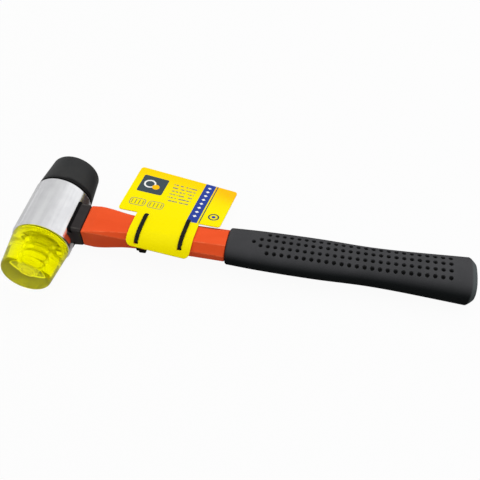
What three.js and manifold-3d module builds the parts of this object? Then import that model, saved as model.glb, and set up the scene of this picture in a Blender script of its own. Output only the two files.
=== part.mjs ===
// Double-faced soft mallet lying on its side, with a card tied to its handle.
// Millimetres, +Z up. The head's axis is Y and the handle runs along +X.
// The tool rests on its head and on the butt of its grip.

import * as THREE from 'three';
import { mergeGeometries, mergeVertices } from 'three/addons/utils/BufferGeometryUtils.js';
import Module from 'manifold-3d';

const wasm = await Module();
wasm.setup();

// Gaps between pieces that are bonded, moulded on or pressed together
const bondGap = 0.3;
const seatGap = 0.1;

// Head
const headDiameter = 36.5;
const headLength = 38.8;
const headRimRadius = 1.2;
const socketFloor = 1.7;

// Screw thread of both faces, round in profile as moulded threads are
const threadPitch = 3;
const threadRootDiameter = 17.6;
const threadHeight = 1.2;
const threadClearance = 0.4;
const threadFade = 1.5;
const studEndGap = 0.6;

// Washers between the faces and the head
const washerThickness = 0.5;
const washerDiameter = 33;
const washerBoreClearance = 0.4;

// Yellow plastic face
const plasticBaseDiameter = 35;
const plasticStrikeDiameter = 30;
const plasticLength = 24.2;
const plasticEdgeRadius = 2.5;
const plasticCoringDiameter = 11;
const plasticCoringFloor = 7;

// Black rubber face and its steel insert
const rubberBaseDiameter = 35.8;
const rubberStrikeDiameter = 31;
const rubberLength = 23.5;
const rubberEdgeRadius = 2.5;
const insertFlangeDiameter = 25;
const insertFlangeThickness = 4;
const insertFlangeDepth = 5;
const insertNeckDiameter = 15;

// Fibreglass core and its bond in the head's eye
const coreDiameter = 8.5;
const resinThickness = 1;
const eyeDepthPastAxis = 10;
const resinInset = 1.5;
const coreEndWall = 4;

// Handle lengths, measured from the head outwards
const collarLength = 4.8;
const jacketLength = 89;
const gripLength = 145.5;

// Collar where it meets the head and where it meets the jacket.
// Its sections have eight sides: flat top and underside, four chamfers and two upright sides.
const collarHeadTopWidth = 19.6;
const collarHeadThickness = 15.8;
const collarHeadWidth = 22.6;
const collarHeadSideHeight = 13.8;
const collarEndTopWidth = 19.4;
const collarEndThickness = 14.8;
const collarEndWidth = 22.2;
const collarEndSideHeight = 12.8;

// Jacket, in sections of the same kind: its neck, flare, taper, shaft and rear end
const jacketNeckTopWidth = 20.4;
const jacketNeckThickness = 12.8;
const jacketNeckWidth = 21.8;
const jacketNeckSideHeight = 12.4;
const jacketFlareAlong = 6.5;
const jacketFlareTopWidth = 20.4;
const jacketFlareThickness = 15;
const jacketFlareWidth = 22.4;
const jacketFlareSideHeight = 13.2;
const jacketTaperAlong = 28;
const jacketTaperTopWidth = 14.4;
const jacketTaperThickness = 14.2;
const jacketTaperWidth = 20;
const jacketTaperSideHeight = 7.6;
const jacketShaftAlong = 51;
const jacketShaftTopWidth = 12.6;
const jacketShaftThickness = 14;
const jacketShaftWidth = 20.2;
const jacketShaftSideHeight = 5.6;
const jacketRearTopWidth = 11.2;
const jacketRearThickness = 13.8;
const jacketRearWidth = 21.6;
const jacketRearSideHeight = 4.2;
const jacketRingSpacing = 8;

// Grip, in oval sections: its lip, shoulder, swell, waist and butt
const gripLipWidth = 24.4;
const gripLipThickness = 15.6;
const gripShoulderAlong = 18;
const gripShoulderWidth = 26.2;
const gripShoulderThickness = 16;
const gripSwellAlong = 53;
const gripSwellWidth = 26.8;
const gripSwellThickness = 16.6;
const gripWaistAlong = 88;
const gripWaistWidth = 24.6;
const gripWaistThickness = 17.6;
const gripButtWidth = 29.4;
const gripButtThickness = 22.6;
const ovalPower = 2.4;
const gripRingSpacing = 14;
const gripLipRadius = 1.4;
const gripButtRadius = 4;
const gripWall = 2;
const gripButtWall = 9;

// Dimples of the grip, in four rows on its top and four on its underside
const dimpleDiameter = 2.1;
const dimpleDepth = 1.4;
const dimplePitch = 4.4;
const dimpleInnerRow = 2.4;
const dimpleOuterRow = 7;
const dimpleStart = 16;
const dimpleButtMargin = 14;

// Hang card: a wide panel behind the handle and a narrower flap bent over it
const cardThickness = 0.6;
const cardAlong = 49.7;
const cardYaw = THREE.MathUtils.degToRad(-3.7);
const panelWidth = 65.9;
const panelLength = 42.8;
const panelCornerRadius = 2.6;
const flapWidth = 40;
const flapRear = 8.3;
const flapFront = 15;
const flapCornerRadius = 4;
const cardBendStart = 2;
const cardBendRadius = 18;
const cardBendAngle = THREE.MathUtils.degToRad(42);
const cardFlatRear = 6.5;
const cardRingSpacing = 10;
const panelDroopNearHead = THREE.MathUtils.degToRad(5.1);
const panelDroopNearGrip = THREE.MathUtils.degToRad(16.1);

// Cable ties
const tieWidth = 2.5;
const tieThickness = 0.9;
const tieSpacing = 26.8;
const tieHoleDiameter = 4;
const tieHoleRear = 8.1;
const tieHoleFront = 11.7;
const tieHeadWidth = 4.6;
const tieHeadLength = 4.4;
const tieHeadHeight = 3.6;
const tieHeadAcross = 5;

// Facets
const roundSides = 40;
const threadSides = 20;
const threadStepsPerTurn = 6;
const ovalSides = 32;
const boreSides = 24;
const arcSteps = 4;
const bendSteps = 6;
const dimpleSides = 6;
const cutOverrun = 2;

// Distances below which corners are one and a ring is flat
const weldTolerance = 1e-4;
const flatTolerance = 1e-6;

// Places worked out from the sizes above
const headRadius = headDiameter / 2;
const headHalf = headLength / 2;
const coreRadius = coreDiameter / 2;
const coreBoreRadius = coreRadius + bondGap;
const resinRadius = coreBoreRadius + resinThickness;
const eyeRadius = resinRadius + bondGap;
const socketDepth = headHalf - eyeRadius - socketFloor;
const faceBase = headHalf + washerThickness + 2 * seatGap;
const threadRootRadius = threadRootDiameter / 2;
const studTip = headHalf - socketDepth + studEndGap;
const collarEnd = headRadius + collarLength;
const jacketStart = collarEnd + bondGap;
const jacketEnd = jacketStart + jacketLength;
const gripStart = jacketEnd + bondGap;
const tenonEnd = gripStart + gripLength - gripButtWall;
const coreStart = -eyeDepthPastAxis + bondGap;
const coreEnd = tenonEnd - coreEndWall;

// Turns a closed geometry into a solid: only positions are kept, shared corners are merged,
// and triangles that have shrunk to a line are dropped.
function toSolid(geometry) {
  const bare = geometry.clone();
  bare.deleteAttribute('normal');
  bare.deleteAttribute('uv');
  const merged = mergeVertices(bare, weldTolerance);
  const corners = [];
  for (let i = 0; i < merged.index.count; i += 3) {
    const [a, b, c] = [0, 1, 2].map((k) => merged.index.getX(i + k));
    if (a !== b && b !== c && c !== a) {
      corners.push(a, b, c);
    }
  }
  return new wasm.Manifold(new wasm.Mesh({
    numProp: 3,
    vertProperties: new Float32Array(merged.attributes.position.array),
    triVerts: new Uint32Array(corners),
  }));
}

// Gives a solid's surface back as a geometry.
function toGeometry(solid) {
  const mesh = solid.getMesh();
  const geometry = new THREE.BufferGeometry();
  geometry.setAttribute('position', new THREE.BufferAttribute(new Float32Array(mesh.vertProperties), 3));
  geometry.setIndex(new THREE.BufferAttribute(new Uint32Array(mesh.triVerts), 1));
  geometry.computeVertexNormals();
  return geometry;
}

// Makes a named sub-part with its own material.
function piece(name, solid, color, roughness, metalness = 0) {
  const material = new THREE.MeshStandardMaterial({ color, roughness, metalness });
  const mesh = new THREE.Mesh(toGeometry(solid), material);
  mesh.name = name;
  return mesh;
}

// Closes a row of rings, each with as many points as the next, into one skin with flat ends.
function loft(rings) {
  const sides = rings[0].length;
  const points = rings.flat();
  const index = [];
  for (let ring = 0; ring + 1 < rings.length; ring += 1) {
    for (let side = 0; side < sides; side += 1) {
      const next = (side + 1) % sides;
      const [a, b] = [ring * sides + side, ring * sides + next];
      const [c, d] = [a + sides, b + sides];
      index.push(a, b, c, b, d, c);
    }
  }
  const last = (rings.length - 1) * sides;
  const endFaces = (ring) => THREE.ShapeUtils.triangulateShape(ring, []);
  const flat = (ring, u, v) => ring.map((p) => new THREE.Vector2(p.getComponent(u), p.getComponent(v)));
  const acrossX = rings[0].every((p) => Math.abs(p.x - rings[0][0].x) < flatTolerance);
  const axis = acrossX ? [1, 2] : [2, 0];
  for (const [a, b, c] of endFaces(flat(rings[0], ...axis))) {
    index.push(a, c, b);
  }
  for (const [a, b, c] of endFaces(flat(rings.at(-1), ...axis))) {
    index.push(last + a, last + b, last + c);
  }
  const geometry = new THREE.BufferGeometry().setFromPoints(points);
  geometry.setIndex(index);
  return geometry;
}

// A round bar along X.
function barAlongX(radius, from, to, sides = boreSides) {
  const bar = new THREE.CylinderGeometry(radius, radius, to - from, sides);
  return bar.rotateZ(-Math.PI / 2).translate((from + to) / 2, 0, 0);
}

// A round bar along Y.
function barAlongY(radius, from, to, sides = boreSides) {
  return new THREE.CylinderGeometry(radius, radius, to - from, sides).translate(0, (from + to) / 2, 0);
}

// Revolves a closed outline of [radius, height] points about Y.
function turned(outline, sides = roundSides) {
  const closed = [...outline, outline[0]];
  return new THREE.LatheGeometry(closed.map(([radius, y]) => new THREE.Vector2(radius, y)), sides);
}

// Points of a rounded corner: an arc about (radius, y) that runs between two angles.
function cornerArc(radius, y, size, fromDegrees, toDegrees) {
  return Array.from({ length: arcSteps + 1 }, (_, step) => {
    const angle = THREE.MathUtils.degToRad(fromDegrees + ((toDegrees - fromDegrees) * step) / arcSteps);
    return [radius + size * Math.cos(angle), y + size * Math.sin(angle)];
  });
}

// A right-handed thread about Y: the radius swells from root to crest once in each turn of the helix.
// The swell fades out over fadeLength at both ends, or runs full if fadeLength is 0.
function thread(from, to, rootRadius, fadeLength) {
  const steps = Math.ceil(((to - from) / threadPitch) * threadStepsPerTurn);
  const rings = Array.from({ length: steps + 1 }, (_, step) => {
    const y = from + ((to - from) * step) / steps;
    const edge = Math.min(y - from, to - y);
    const fade = fadeLength > 0 ? THREE.MathUtils.smoothstep(edge, 0, fadeLength) : 1;
    return Array.from({ length: threadSides }, (_, side) => {
      const angle = (2 * Math.PI * side) / threadSides;
      const swell = 0.5 + 0.5 * Math.cos(angle - (2 * Math.PI * y) / threadPitch);
      const radius = rootRadius + threadHeight * swell * fade;
      return new THREE.Vector3(radius * Math.sin(angle), y, radius * Math.cos(angle));
    });
  });
  return loft(rings);
}

// Head: a cylinder with rounded rims, cut by two threaded sockets and the handle's eye.
function makeHead() {
  const rim = headRadius - headRimRadius;
  const body = toSolid(new THREE.LatheGeometry([
    [0, -headHalf],
    ...cornerArc(rim, -headHalf + headRimRadius, headRimRadius, -90, 0),
    ...cornerArc(rim, headHalf - headRimRadius, headRimRadius, 0, 90),
    [0, headHalf],
  ].map(([radius, y]) => new THREE.Vector2(radius, y)), roundSides));
  const socketRadius = threadRootRadius + threadClearance;
  const socket = thread(headHalf - socketDepth, headHalf + cutOverrun, socketRadius, 0);
  const oppositeSocket = socket.clone().rotateZ(Math.PI);
  const eye = barAlongX(eyeRadius, -eyeDepthPastAxis, headRadius + cutOverrun);
  return body.subtract(toSolid(socket)).subtract(toSolid(oppositeSocket)).subtract(toSolid(eye));
}

// Striking face pointing along +Y: a cone with a rounded striking edge.
// The side is tangent to the edge's arc, so the arc starts square to the side's slope.
function faceOutline(baseRadius, strikeRadius, length, edgeRadius) {
  const slope = Math.atan2(baseRadius - strikeRadius, length);
  const strike = faceBase + length;
  const arcHeight = strike - edgeRadius;
  const sideAtArc = strikeRadius + edgeRadius * Math.tan(slope);
  const arcCentre = sideAtArc - edgeRadius / Math.cos(slope);
  return [
    [baseRadius, faceBase],
    ...cornerArc(arcCentre, arcHeight, edgeRadius, THREE.MathUtils.radToDeg(slope), 90),
    [0, strike],
  ];
}

// Plastic face with its moulded stud, cored from the stud's tip.
function makePlasticFace() {
  const outline = faceOutline(
    plasticBaseDiameter / 2, plasticStrikeDiameter / 2, plasticLength, plasticEdgeRadius,
  );
  const body = toSolid(turned([[0, faceBase], ...outline]));
  const stud = toSolid(thread(studTip, faceBase + threadPitch / 2, threadRootRadius, threadFade));
  const coringEnd = faceBase + plasticLength - plasticCoringFloor;
  const coring = toSolid(barAlongY(plasticCoringDiameter / 2, studTip - cutOverrun, coringEnd));
  return body.add(stud).subtract(coring);
}

// Rubber face: the pocket inside follows the steel insert's neck and flange.
function makeRubberFace() {
  const outline = faceOutline(
    rubberBaseDiameter / 2, rubberStrikeDiameter / 2, rubberLength, rubberEdgeRadius,
  );
  const neckRadius = insertNeckDiameter / 2 + bondGap;
  const flangeRadius = insertFlangeDiameter / 2 + bondGap;
  const flangeBottom = faceBase + insertFlangeDepth - bondGap;
  const flangeTop = faceBase + insertFlangeDepth + insertFlangeThickness + bondGap;
  return toSolid(turned([
    [neckRadius, faceBase],
    ...outline,
    [0, flangeTop],
    [flangeRadius, flangeTop],
    [flangeRadius, flangeBottom],
    [neckRadius, flangeBottom],
  ]));
}

// Steel insert: threaded stud, plain neck and the flange that the rubber holds.
function makeRubberFaceStud() {
  const flangeBottom = faceBase + insertFlangeDepth;
  const flangeTop = flangeBottom + insertFlangeThickness;
  const threadTop = faceBase - seatGap;
  const stud = toSolid(thread(studTip, threadTop, threadRootRadius, threadFade));
  const neck = toSolid(barAlongY(insertNeckDiameter / 2, threadTop - threadPitch, flangeTop));
  const flange = toSolid(barAlongY(insertFlangeDiameter / 2, flangeBottom, flangeTop, roundSides));
  return stud.add(neck).add(flange);
}

// Flat washer around a face's stud.
function makeWasher() {
  const inner = threadRootRadius + threadHeight + washerBoreClearance;
  const outer = washerDiameter / 2;
  const low = headHalf + seatGap;
  const high = low + washerThickness;
  return toSolid(turned([[inner, low], [outer, low], [outer, high], [inner, high]]));
}

// Fibreglass rod from the bottom of the eye to the jacket's far end.
function makeCore() {
  return toSolid(barAlongX(coreRadius, coreStart, coreEnd));
}

// Resin sleeve that bonds the rod into the eye.
function makeResin() {
  const outside = toSolid(barAlongX(resinRadius, coreStart, headRadius - resinInset));
  return outside.subtract(toSolid(barAlongX(coreBoreRadius, coreStart - cutOverrun, headRadius)));
}

// Eight-sided section from its full sizes, at a distance along its piece.
function eightSided(along, topWidth, thickness, width, sideHeight) {
  return {
    along,
    topHalf: topWidth / 2,
    halfThickness: thickness / 2,
    halfWidth: width / 2,
    sideHalf: sideHeight / 2,
  };
}

const collarHeadSection = eightSided(
  0, collarHeadTopWidth, collarHeadThickness, collarHeadWidth, collarHeadSideHeight,
);
const collarEndSection = eightSided(
  collarLength, collarEndTopWidth, collarEndThickness, collarEndWidth, collarEndSideHeight,
);
const jacketSections = [
  eightSided(
    0, jacketNeckTopWidth, jacketNeckThickness, jacketNeckWidth, jacketNeckSideHeight,
  ),
  eightSided(
    jacketFlareAlong, jacketFlareTopWidth, jacketFlareThickness, jacketFlareWidth, jacketFlareSideHeight,
  ),
  eightSided(
    jacketTaperAlong, jacketTaperTopWidth, jacketTaperThickness, jacketTaperWidth, jacketTaperSideHeight,
  ),
  eightSided(
    jacketShaftAlong, jacketShaftTopWidth, jacketShaftThickness, jacketShaftWidth, jacketShaftSideHeight,
  ),
  eightSided(
    jacketLength, jacketRearTopWidth, jacketRearThickness, jacketRearWidth, jacketRearSideHeight,
  ),
];

// Oval section from its full sizes, at a distance along the grip.
function ovalSection(along, width, thickness) {
  return { along, halfWidth: width / 2, halfThickness: thickness / 2 };
}

const gripSections = [
  ovalSection(0, gripLipWidth, gripLipThickness),
  ovalSection(gripShoulderAlong, gripShoulderWidth, gripShoulderThickness),
  ovalSection(gripSwellAlong, gripSwellWidth, gripSwellThickness),
  ovalSection(gripWaistAlong, gripWaistWidth, gripWaistThickness),
  ovalSection(gripLength, gripButtWidth, gripButtThickness),
];

// Ring of eight points across the handle at a given X.
function octagon(x, { topHalf, halfThickness, halfWidth, sideHalf }) {
  const half = [
    [halfWidth, -sideHalf],
    [halfWidth, sideHalf],
    [topHalf, halfThickness],
    [-topHalf, halfThickness],
  ];
  const opposite = half.map(([y, z]) => [-y, -z]);
  return [...half, ...opposite].map(([y, z]) => new THREE.Vector3(x, y, z));
}

// Oval ring across the handle at a given X, flatter than an ellipse.
function oval(x, halfWidth, halfThickness) {
  return Array.from({ length: ovalSides }, (_, side) => {
    const angle = (2 * Math.PI * side) / ovalSides;
    const bulge = (value) => Math.sign(value) * Math.abs(value) ** (2 / ovalPower);
    const y = halfWidth * bulge(Math.cos(angle));
    const z = halfThickness * bulge(Math.sin(angle));
    return new THREE.Vector3(x, y, z);
  });
}

// Smooth run of one size through a list of sections.
function sizeAlong(sections, size) {
  const run = new THREE.CubicInterpolant(
    sections.map((section) => section.along), sections.map((section) => section[size]), 1,
  );
  return (along) => run.evaluate(along)[0];
}

const jacketSizes = {
  topHalf: sizeAlong(jacketSections, 'topHalf'),
  halfThickness: sizeAlong(jacketSections, 'halfThickness'),
  halfWidth: sizeAlong(jacketSections, 'halfWidth'),
  sideHalf: sizeAlong(jacketSections, 'sideHalf'),
};
const gripSizes = {
  halfWidth: sizeAlong(gripSections, 'halfWidth'),
  halfThickness: sizeAlong(gripSections, 'halfThickness'),
};

// The jacket's section at a given X.
function jacketSection(x) {
  const along = x - jacketStart;
  return Object.fromEntries(Object.entries(jacketSizes).map(([size, run]) => [size, run(along)]));
}

// Evenly spaced places from one end to the other, no further apart than the spacing.
function places(from, to, spacing) {
  const steps = Math.ceil((to - from) / spacing);
  return Array.from({ length: steps + 1 }, (_, step) => from + ((to - from) * step) / steps);
}

// Collar: saddled on the head, tapered from there to the jacket, and bored for the rod.
function makeCollar() {
  const taperStart = Math.sqrt(headRadius ** 2 - collarHeadSection.halfThickness ** 2);
  const blank = toSolid(loft([
    octagon(0, collarHeadSection),
    octagon(taperStart, collarHeadSection),
    octagon(collarEnd, collarEndSection),
  ]));
  const saddle = toSolid(barAlongY(headRadius + bondGap, -headLength, headLength, 2 * roundSides));
  const bore = toSolid(barAlongX(coreBoreRadius, -cutOverrun, collarEnd + cutOverrun));
  return blank.subtract(saddle).subtract(bore);
}

// Oval skin inside the grip, a wall's thickness in from its surface and grown by a given amount.
function tenon(from, to, grow) {
  return loft(places(from, to, gripRingSpacing).map((x) => {
    const along = THREE.MathUtils.clamp(x - gripStart, 0, gripLength);
    const inset = gripWall + bondGap - grow;
    return oval(x, gripSizes.halfWidth(along) - inset, gripSizes.halfThickness(along) - inset);
  }));
}

// Jacket: faceted in front of the grip, an oval tenon inside it, bored for the rod.
function makeJacket() {
  const rings = [jacketStart, ...places(jacketStart + jacketFlareAlong, jacketEnd, jacketRingSpacing)];
  const front = toSolid(loft(rings.map((x) => octagon(x, jacketSection(x)))));
  const rear = toSolid(tenon(jacketEnd - cutOverrun, tenonEnd - bondGap, 0));
  const bore = toSolid(barAlongX(coreBoreRadius, jacketStart - cutOverrun, coreEnd + bondGap));
  return front.add(rear).subtract(bore);
}

// Rings of the grip's skin as [X, inset], drawn in at the rounded lip and butt.
function gripRings() {
  const gripEnd = gripStart + gripLength;
  const rounding = (radius) => (
    cornerArc(0, 0, radius, 0, 90).map(([run, rise]) => [radius - run, radius - rise])
  );
  const lip = rounding(gripLipRadius).map(([run, inset]) => [gripStart + run, inset]);
  const butt = rounding(gripButtRadius).map(([run, inset]) => [gripEnd - run, inset]).reverse();
  const stretch = places(gripStart + gripLipRadius, gripEnd - gripButtRadius, gripRingSpacing);
  const middle = stretch.slice(1, -1).map((x) => [x, 0]);
  return [...lip, ...middle, ...butt];
}

// Dimples: pointed holes that follow the grip's surface, one, then two, then four in a column.
function dimpleCutters() {
  const columns = Math.floor((gripLength - dimpleStart - dimpleButtMargin) / dimplePitch) + 1;
  const rowsOfColumn = (column) => {
    if (column === 0) {
      return [0];
    }
    const inner = [-dimpleInnerRow, dimpleInnerRow];
    return column === 1 ? inner : [-dimpleOuterRow, ...inner, dimpleOuterRow];
  };
  const cutters = [];
  for (let column = 0; column < columns; column += 1) {
    const along = dimpleStart + column * dimplePitch;
    for (const y of rowsOfColumn(column)) {
      const across = Math.abs(y) / gripSizes.halfWidth(along);
      const height = gripSizes.halfThickness(along) * (1 - across ** ovalPower) ** (1 / ovalPower);
      for (const side of [1, -1]) {
        const tall = dimpleDepth + cutOverrun;
        const mouth = (dimpleDiameter / 2) * (tall / dimpleDepth);
        const hole = new THREE.ConeGeometry(mouth, tall, dimpleSides);
        hole.rotateX(-side * Math.PI / 2);
        hole.translate(gripStart + along, y, side * (height - dimpleDepth + tall / 2));
        cutters.push(hole);
      }
    }
  }
  return mergeGeometries(cutters);
}

// Grip: a hollow sleeve over the jacket's tenon, closed at the butt.
function makeGrip() {
  const skin = toSolid(loft(gripRings().map(([x, inset]) => {
    const along = x - gripStart;
    return oval(x, gripSizes.halfWidth(along) - inset, gripSizes.halfThickness(along) - inset);
  })));
  const hollow = toSolid(tenon(gripStart - cutOverrun, tenonEnd, bondGap));
  return skin.subtract(hollow).subtract(toSolid(dimpleCutters()));
}

const cardX = jacketStart + cardAlong;

// Fall of the card in front of its bend's start: an arc, then straight on.
function bendDrop(run) {
  const arcRun = cardBendRadius * Math.sin(cardBendAngle);
  const onArc = THREE.MathUtils.clamp(run, 0, arcRun);
  const arcDrop = cardBendRadius - Math.sqrt(cardBendRadius ** 2 - onArc ** 2);
  return arcDrop + Math.max(run - arcRun, 0) * Math.tan(cardBendAngle);
}

// Height of the card's underside over the handle: its bend clears the jacket's front ridge.
const cardBase = bondGap + Math.max(
  ...places(cardX - flapWidth / 2, cardX + flapWidth / 2, jacketRingSpacing).map((x) => {
    const { topHalf, halfThickness } = jacketSection(x);
    return halfThickness + bendDrop(topHalf - cardBendStart);
  }),
);

// Height of the card's underside: bent down in front, flat over the handle, drooping behind it.
function cardHeight(y, droop) {
  const behind = Math.max(y - cardFlatRear, 0);
  return cardBase - bendDrop(-cardBendStart - y) - behind * Math.tan(droop);
}

// Droop of the panel, which twists from its edge near the head to its edge near the grip.
function panelDroop(x) {
  const share = x / panelWidth + 0.5;
  return THREE.MathUtils.lerp(panelDroopNearHead, panelDroopNearGrip, share);
}

// Ring across the card at a given X: out along its underside and back along its top.
function cardRing(x, droop) {
  const panelRear = flapRear + panelLength;
  const stops = [
    ...places(-flapFront - cardRingSpacing, -cardBendStart, flapFront / bendSteps),
    ...places(cardFlatRear, panelRear + cardRingSpacing, cardRingSpacing),
  ];
  const under = stops.map((y) => new THREE.Vector3(x, y, cardHeight(y, droop)));
  const over = stops.map((y) => new THREE.Vector3(x, y, cardHeight(y, droop) + cardThickness));
  return [...under, ...over.reverse()];
}

// Outline of the card from above, with rounded outer corners.
function cardOutline() {
  const panelX = panelWidth / 2 - panelCornerRadius;
  const panelFrontY = flapRear + panelCornerRadius;
  const panelRearY = flapRear + panelLength - panelCornerRadius;
  const flapX = flapWidth / 2 - flapCornerRadius;
  const flapY = -flapFront + flapCornerRadius;
  const quarterTurn = Math.PI / 2;
  const shape = new THREE.Shape();
  const corner = (x, y, radius, turn) => {
    shape.absarc(x, y, radius, turn * quarterTurn, (turn + 1) * quarterTurn);
  };
  shape.moveTo(-flapX, -flapFront);
  corner(flapX, flapY, flapCornerRadius, -1);
  shape.lineTo(flapWidth / 2, flapRear);
  corner(panelX, panelFrontY, panelCornerRadius, -1);
  corner(panelX, panelRearY, panelCornerRadius, 0);
  corner(-panelX, panelRearY, panelCornerRadius, 1);
  corner(-panelX, panelFrontY, panelCornerRadius, 2);
  shape.lineTo(-flapWidth / 2, flapRear);
  corner(-flapX, flapY, flapCornerRadius, 2);
  return shape;
}

// An upright block of the given outline, turned about Z, tall enough to cut through the whole card.
function uprightCut(shape, turn) {
  const tall = 2 * (cardBase + panelWidth);
  const options = { depth: tall, bevelEnabled: false, curveSegments: arcSteps };
  const cut = new THREE.ExtrudeGeometry(shape, options);
  return toSolid(cut.translate(0, 0, -tall / 2).rotateZ(turn));
}

// Slant of the ties, which follow the card's turned sides.
const tieSlant = -Math.tan(cardYaw);

// Card in the handle's directions, with its outline turned a little on the handle.
function makeCard() {
  const reach = panelWidth / 2 + cardRingSpacing;
  const rings = places(-reach, reach, cardRingSpacing).map((x) => cardRing(x, panelDroop(x)));
  const sheet = toSolid(loft(rings));
  let card = sheet.intersect(uprightCut(cardOutline(), cardYaw));
  for (const x of [-tieSpacing / 2, tieSpacing / 2]) {
    for (const y of [-tieHoleFront, tieHoleRear]) {
      const hole = new THREE.Shape();
      hole.absarc(x + tieSlant * y, y, tieHoleDiameter / 2, 0, 2 * Math.PI);
      card = card.subtract(uprightCut(hole, 0));
    }
  }
  return card;
}

// Loop of a tie across the handle: over the card, down through its holes and round the jacket.
// grow moves the loop outwards from the inner face of the strap.
function tieLoop(section, droop, grow) {
  const { topHalf, halfThickness, halfWidth, sideHalf } = section;
  const off = bondGap + grow;
  const chamfer = off * Math.tan(Math.PI / 8);
  const over = (y) => [y, cardHeight(y, droop) + cardThickness + off];
  const run = places(tieHoleRear - tieThickness, -tieHoleFront + tieThickness, -tieHoleFront / bendSteps);
  const loop = [
    [halfWidth + off, -sideHalf - chamfer],
    [halfWidth + off, sideHalf + chamfer],
    [tieHoleRear + grow, cardHeight(tieHoleRear, droop) - bondGap],
    [tieHoleRear + grow, cardHeight(tieHoleRear, droop) + cardThickness + off - grow / 2],
    ...run.map(over),
    [-tieHoleFront - grow, cardHeight(-tieHoleFront, droop) + cardThickness + off - grow / 2],
    [-halfWidth - off, sideHalf + chamfer],
    [-halfWidth - off, -sideHalf - chamfer],
    [-topHalf - chamfer, -halfThickness - off],
    [topHalf + chamfer, -halfThickness - off],
  ];
  return loop.map(([y, z]) => new THREE.Vector2(y, z));
}

// Cable tie in the card's frame, with its locking head under the handle.
function makeTie(x, headY) {
  const section = jacketSection(cardX + x);
  const droop = panelDroop(x);
  const shape = new THREE.Shape(tieLoop(section, droop, tieThickness));
  shape.holes.push(new THREE.Path(tieLoop(section, droop, 0)));
  const strap = new THREE.ExtrudeGeometry(shape, { depth: tieWidth, bevelEnabled: false });
  const acrossHandle = new THREE.Matrix4().makeBasis(
    new THREE.Vector3(0, 1, 0), new THREE.Vector3(0, 0, 1), new THREE.Vector3(1, 0, 0),
  );
  strap.applyMatrix4(acrossHandle).translate(x - tieWidth / 2, 0, 0);
  const head = new THREE.BoxGeometry(tieHeadWidth, tieHeadLength, tieHeadHeight);
  head.translate(x, headY, -section.halfThickness - bondGap - tieHeadHeight / 2);
  const slant = new THREE.Matrix4().makeShear(0, 0, tieSlant, 0, 0, 0);
  return toSolid(strap).add(toSolid(head)).transform(slant.elements);
}

// The tilt at which the grip touches the ground that the head lies on.
function restingTilt() {
  const tilts = gripRings().map(([x, inset]) => {
    const drop = gripSizes.halfThickness(x - gripStart) - inset;
    return Math.asin(headRadius / Math.hypot(x, drop)) - Math.atan2(drop, x);
  });
  return Math.min(...tilts);
}

const plasticEnd = new THREE.Group();
plasticEnd.rotation.z = Math.PI;
plasticEnd.add(
  piece('plastic_face', makePlasticFace(), 0xdede08, 0.2),
  piece('plastic_face_washer', makeWasher(), 0x1c1c1c, 0.8),
);

const rubberEnd = new THREE.Group();
rubberEnd.add(
  piece('rubber_face', makeRubberFace(), 0x3a3b3b, 0.75),
  piece('rubber_face_stud', makeRubberFaceStud(), 0xa8a9ab, 0.35, 1),
  piece('rubber_face_washer', makeWasher(), 0x1c1c1c, 0.8),
);

const handle = new THREE.Group();
handle.add(
  piece('fibreglass_core', makeCore(), 0xd8d2b8, 0.6),
  piece('eye_resin', makeResin(), 0xb9a36a, 0.4),
  piece('neck_collar', makeCollar(), 0x2e2b2b, 0.5),
  piece('handle_jacket', makeJacket(), 0xe8502a, 0.4),
  piece('grip_sleeve', makeGrip(), 0x38393a, 0.7),
);

const tiedCard = new THREE.Group();
tiedCard.position.x = cardX;
tiedCard.add(
  piece('hang_card', makeCard(), 0xf5e900, 0.35),
  piece('front_tie', makeTie(-tieSpacing / 2, -tieHeadAcross), 0x151515, 0.45),
  piece('rear_tie', makeTie(tieSpacing / 2, tieHeadAcross), 0x151515, 0.45),
);

const mallet = new THREE.Group();
mallet.rotation.y = restingTilt();
mallet.add(
  piece('head_body', makeHead(), 0xd6d7d9, 0.12, 1),
  plasticEnd,
  rubberEnd,
  handle,
  tiedCard,
);

// The origin is under the middle of the tool's box, on the ground that it rests on.
const part = new THREE.Group();
part.add(mallet);
const box = new THREE.Box3().setFromObject(part, true);
const middle = box.getCenter(new THREE.Vector3());
mallet.position.set(-middle.x, -middle.y, -box.min.z);

export default part;
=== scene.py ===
"""Looks of a double-faced soft mallet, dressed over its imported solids.

Sizes are in millimetres in the mallet's own directions: X runs along the handle from the head's axis, Y along
the head's axis towards the rubber face, and Z up. Lie turns them into the row's metres.
"""

from __future__ import annotations

import logging
import math
from collections.abc import Callable
from dataclasses import dataclass, field
from enum import Enum

import bpy
import numpy as np
from mathutils import Matrix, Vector
from mathutils.geometry import delaunay_2d_cdt


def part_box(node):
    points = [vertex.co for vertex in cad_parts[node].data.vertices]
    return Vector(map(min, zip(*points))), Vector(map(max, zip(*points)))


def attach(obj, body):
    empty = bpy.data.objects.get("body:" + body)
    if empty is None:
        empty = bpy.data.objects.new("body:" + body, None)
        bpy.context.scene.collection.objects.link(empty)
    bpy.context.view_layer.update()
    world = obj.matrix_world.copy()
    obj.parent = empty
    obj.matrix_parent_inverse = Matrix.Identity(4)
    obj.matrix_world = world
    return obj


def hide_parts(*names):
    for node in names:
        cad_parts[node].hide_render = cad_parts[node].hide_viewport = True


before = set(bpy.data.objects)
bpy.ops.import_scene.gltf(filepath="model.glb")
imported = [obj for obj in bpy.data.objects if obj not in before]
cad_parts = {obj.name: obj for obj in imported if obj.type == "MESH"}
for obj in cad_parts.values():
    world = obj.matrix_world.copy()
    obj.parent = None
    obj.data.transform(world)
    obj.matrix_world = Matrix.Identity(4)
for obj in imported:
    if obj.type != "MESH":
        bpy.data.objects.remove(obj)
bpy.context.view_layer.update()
LOG = logging.getLogger("mallet")
METRES = 0.001
TURN = 2 * math.pi
MOST_OF_SIDE = 0.36  # longest rounding of a corner, as a share of its shorter side
FLAT_FROM = 1.3  # where a side is flat again, in lengths of the rounding


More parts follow.
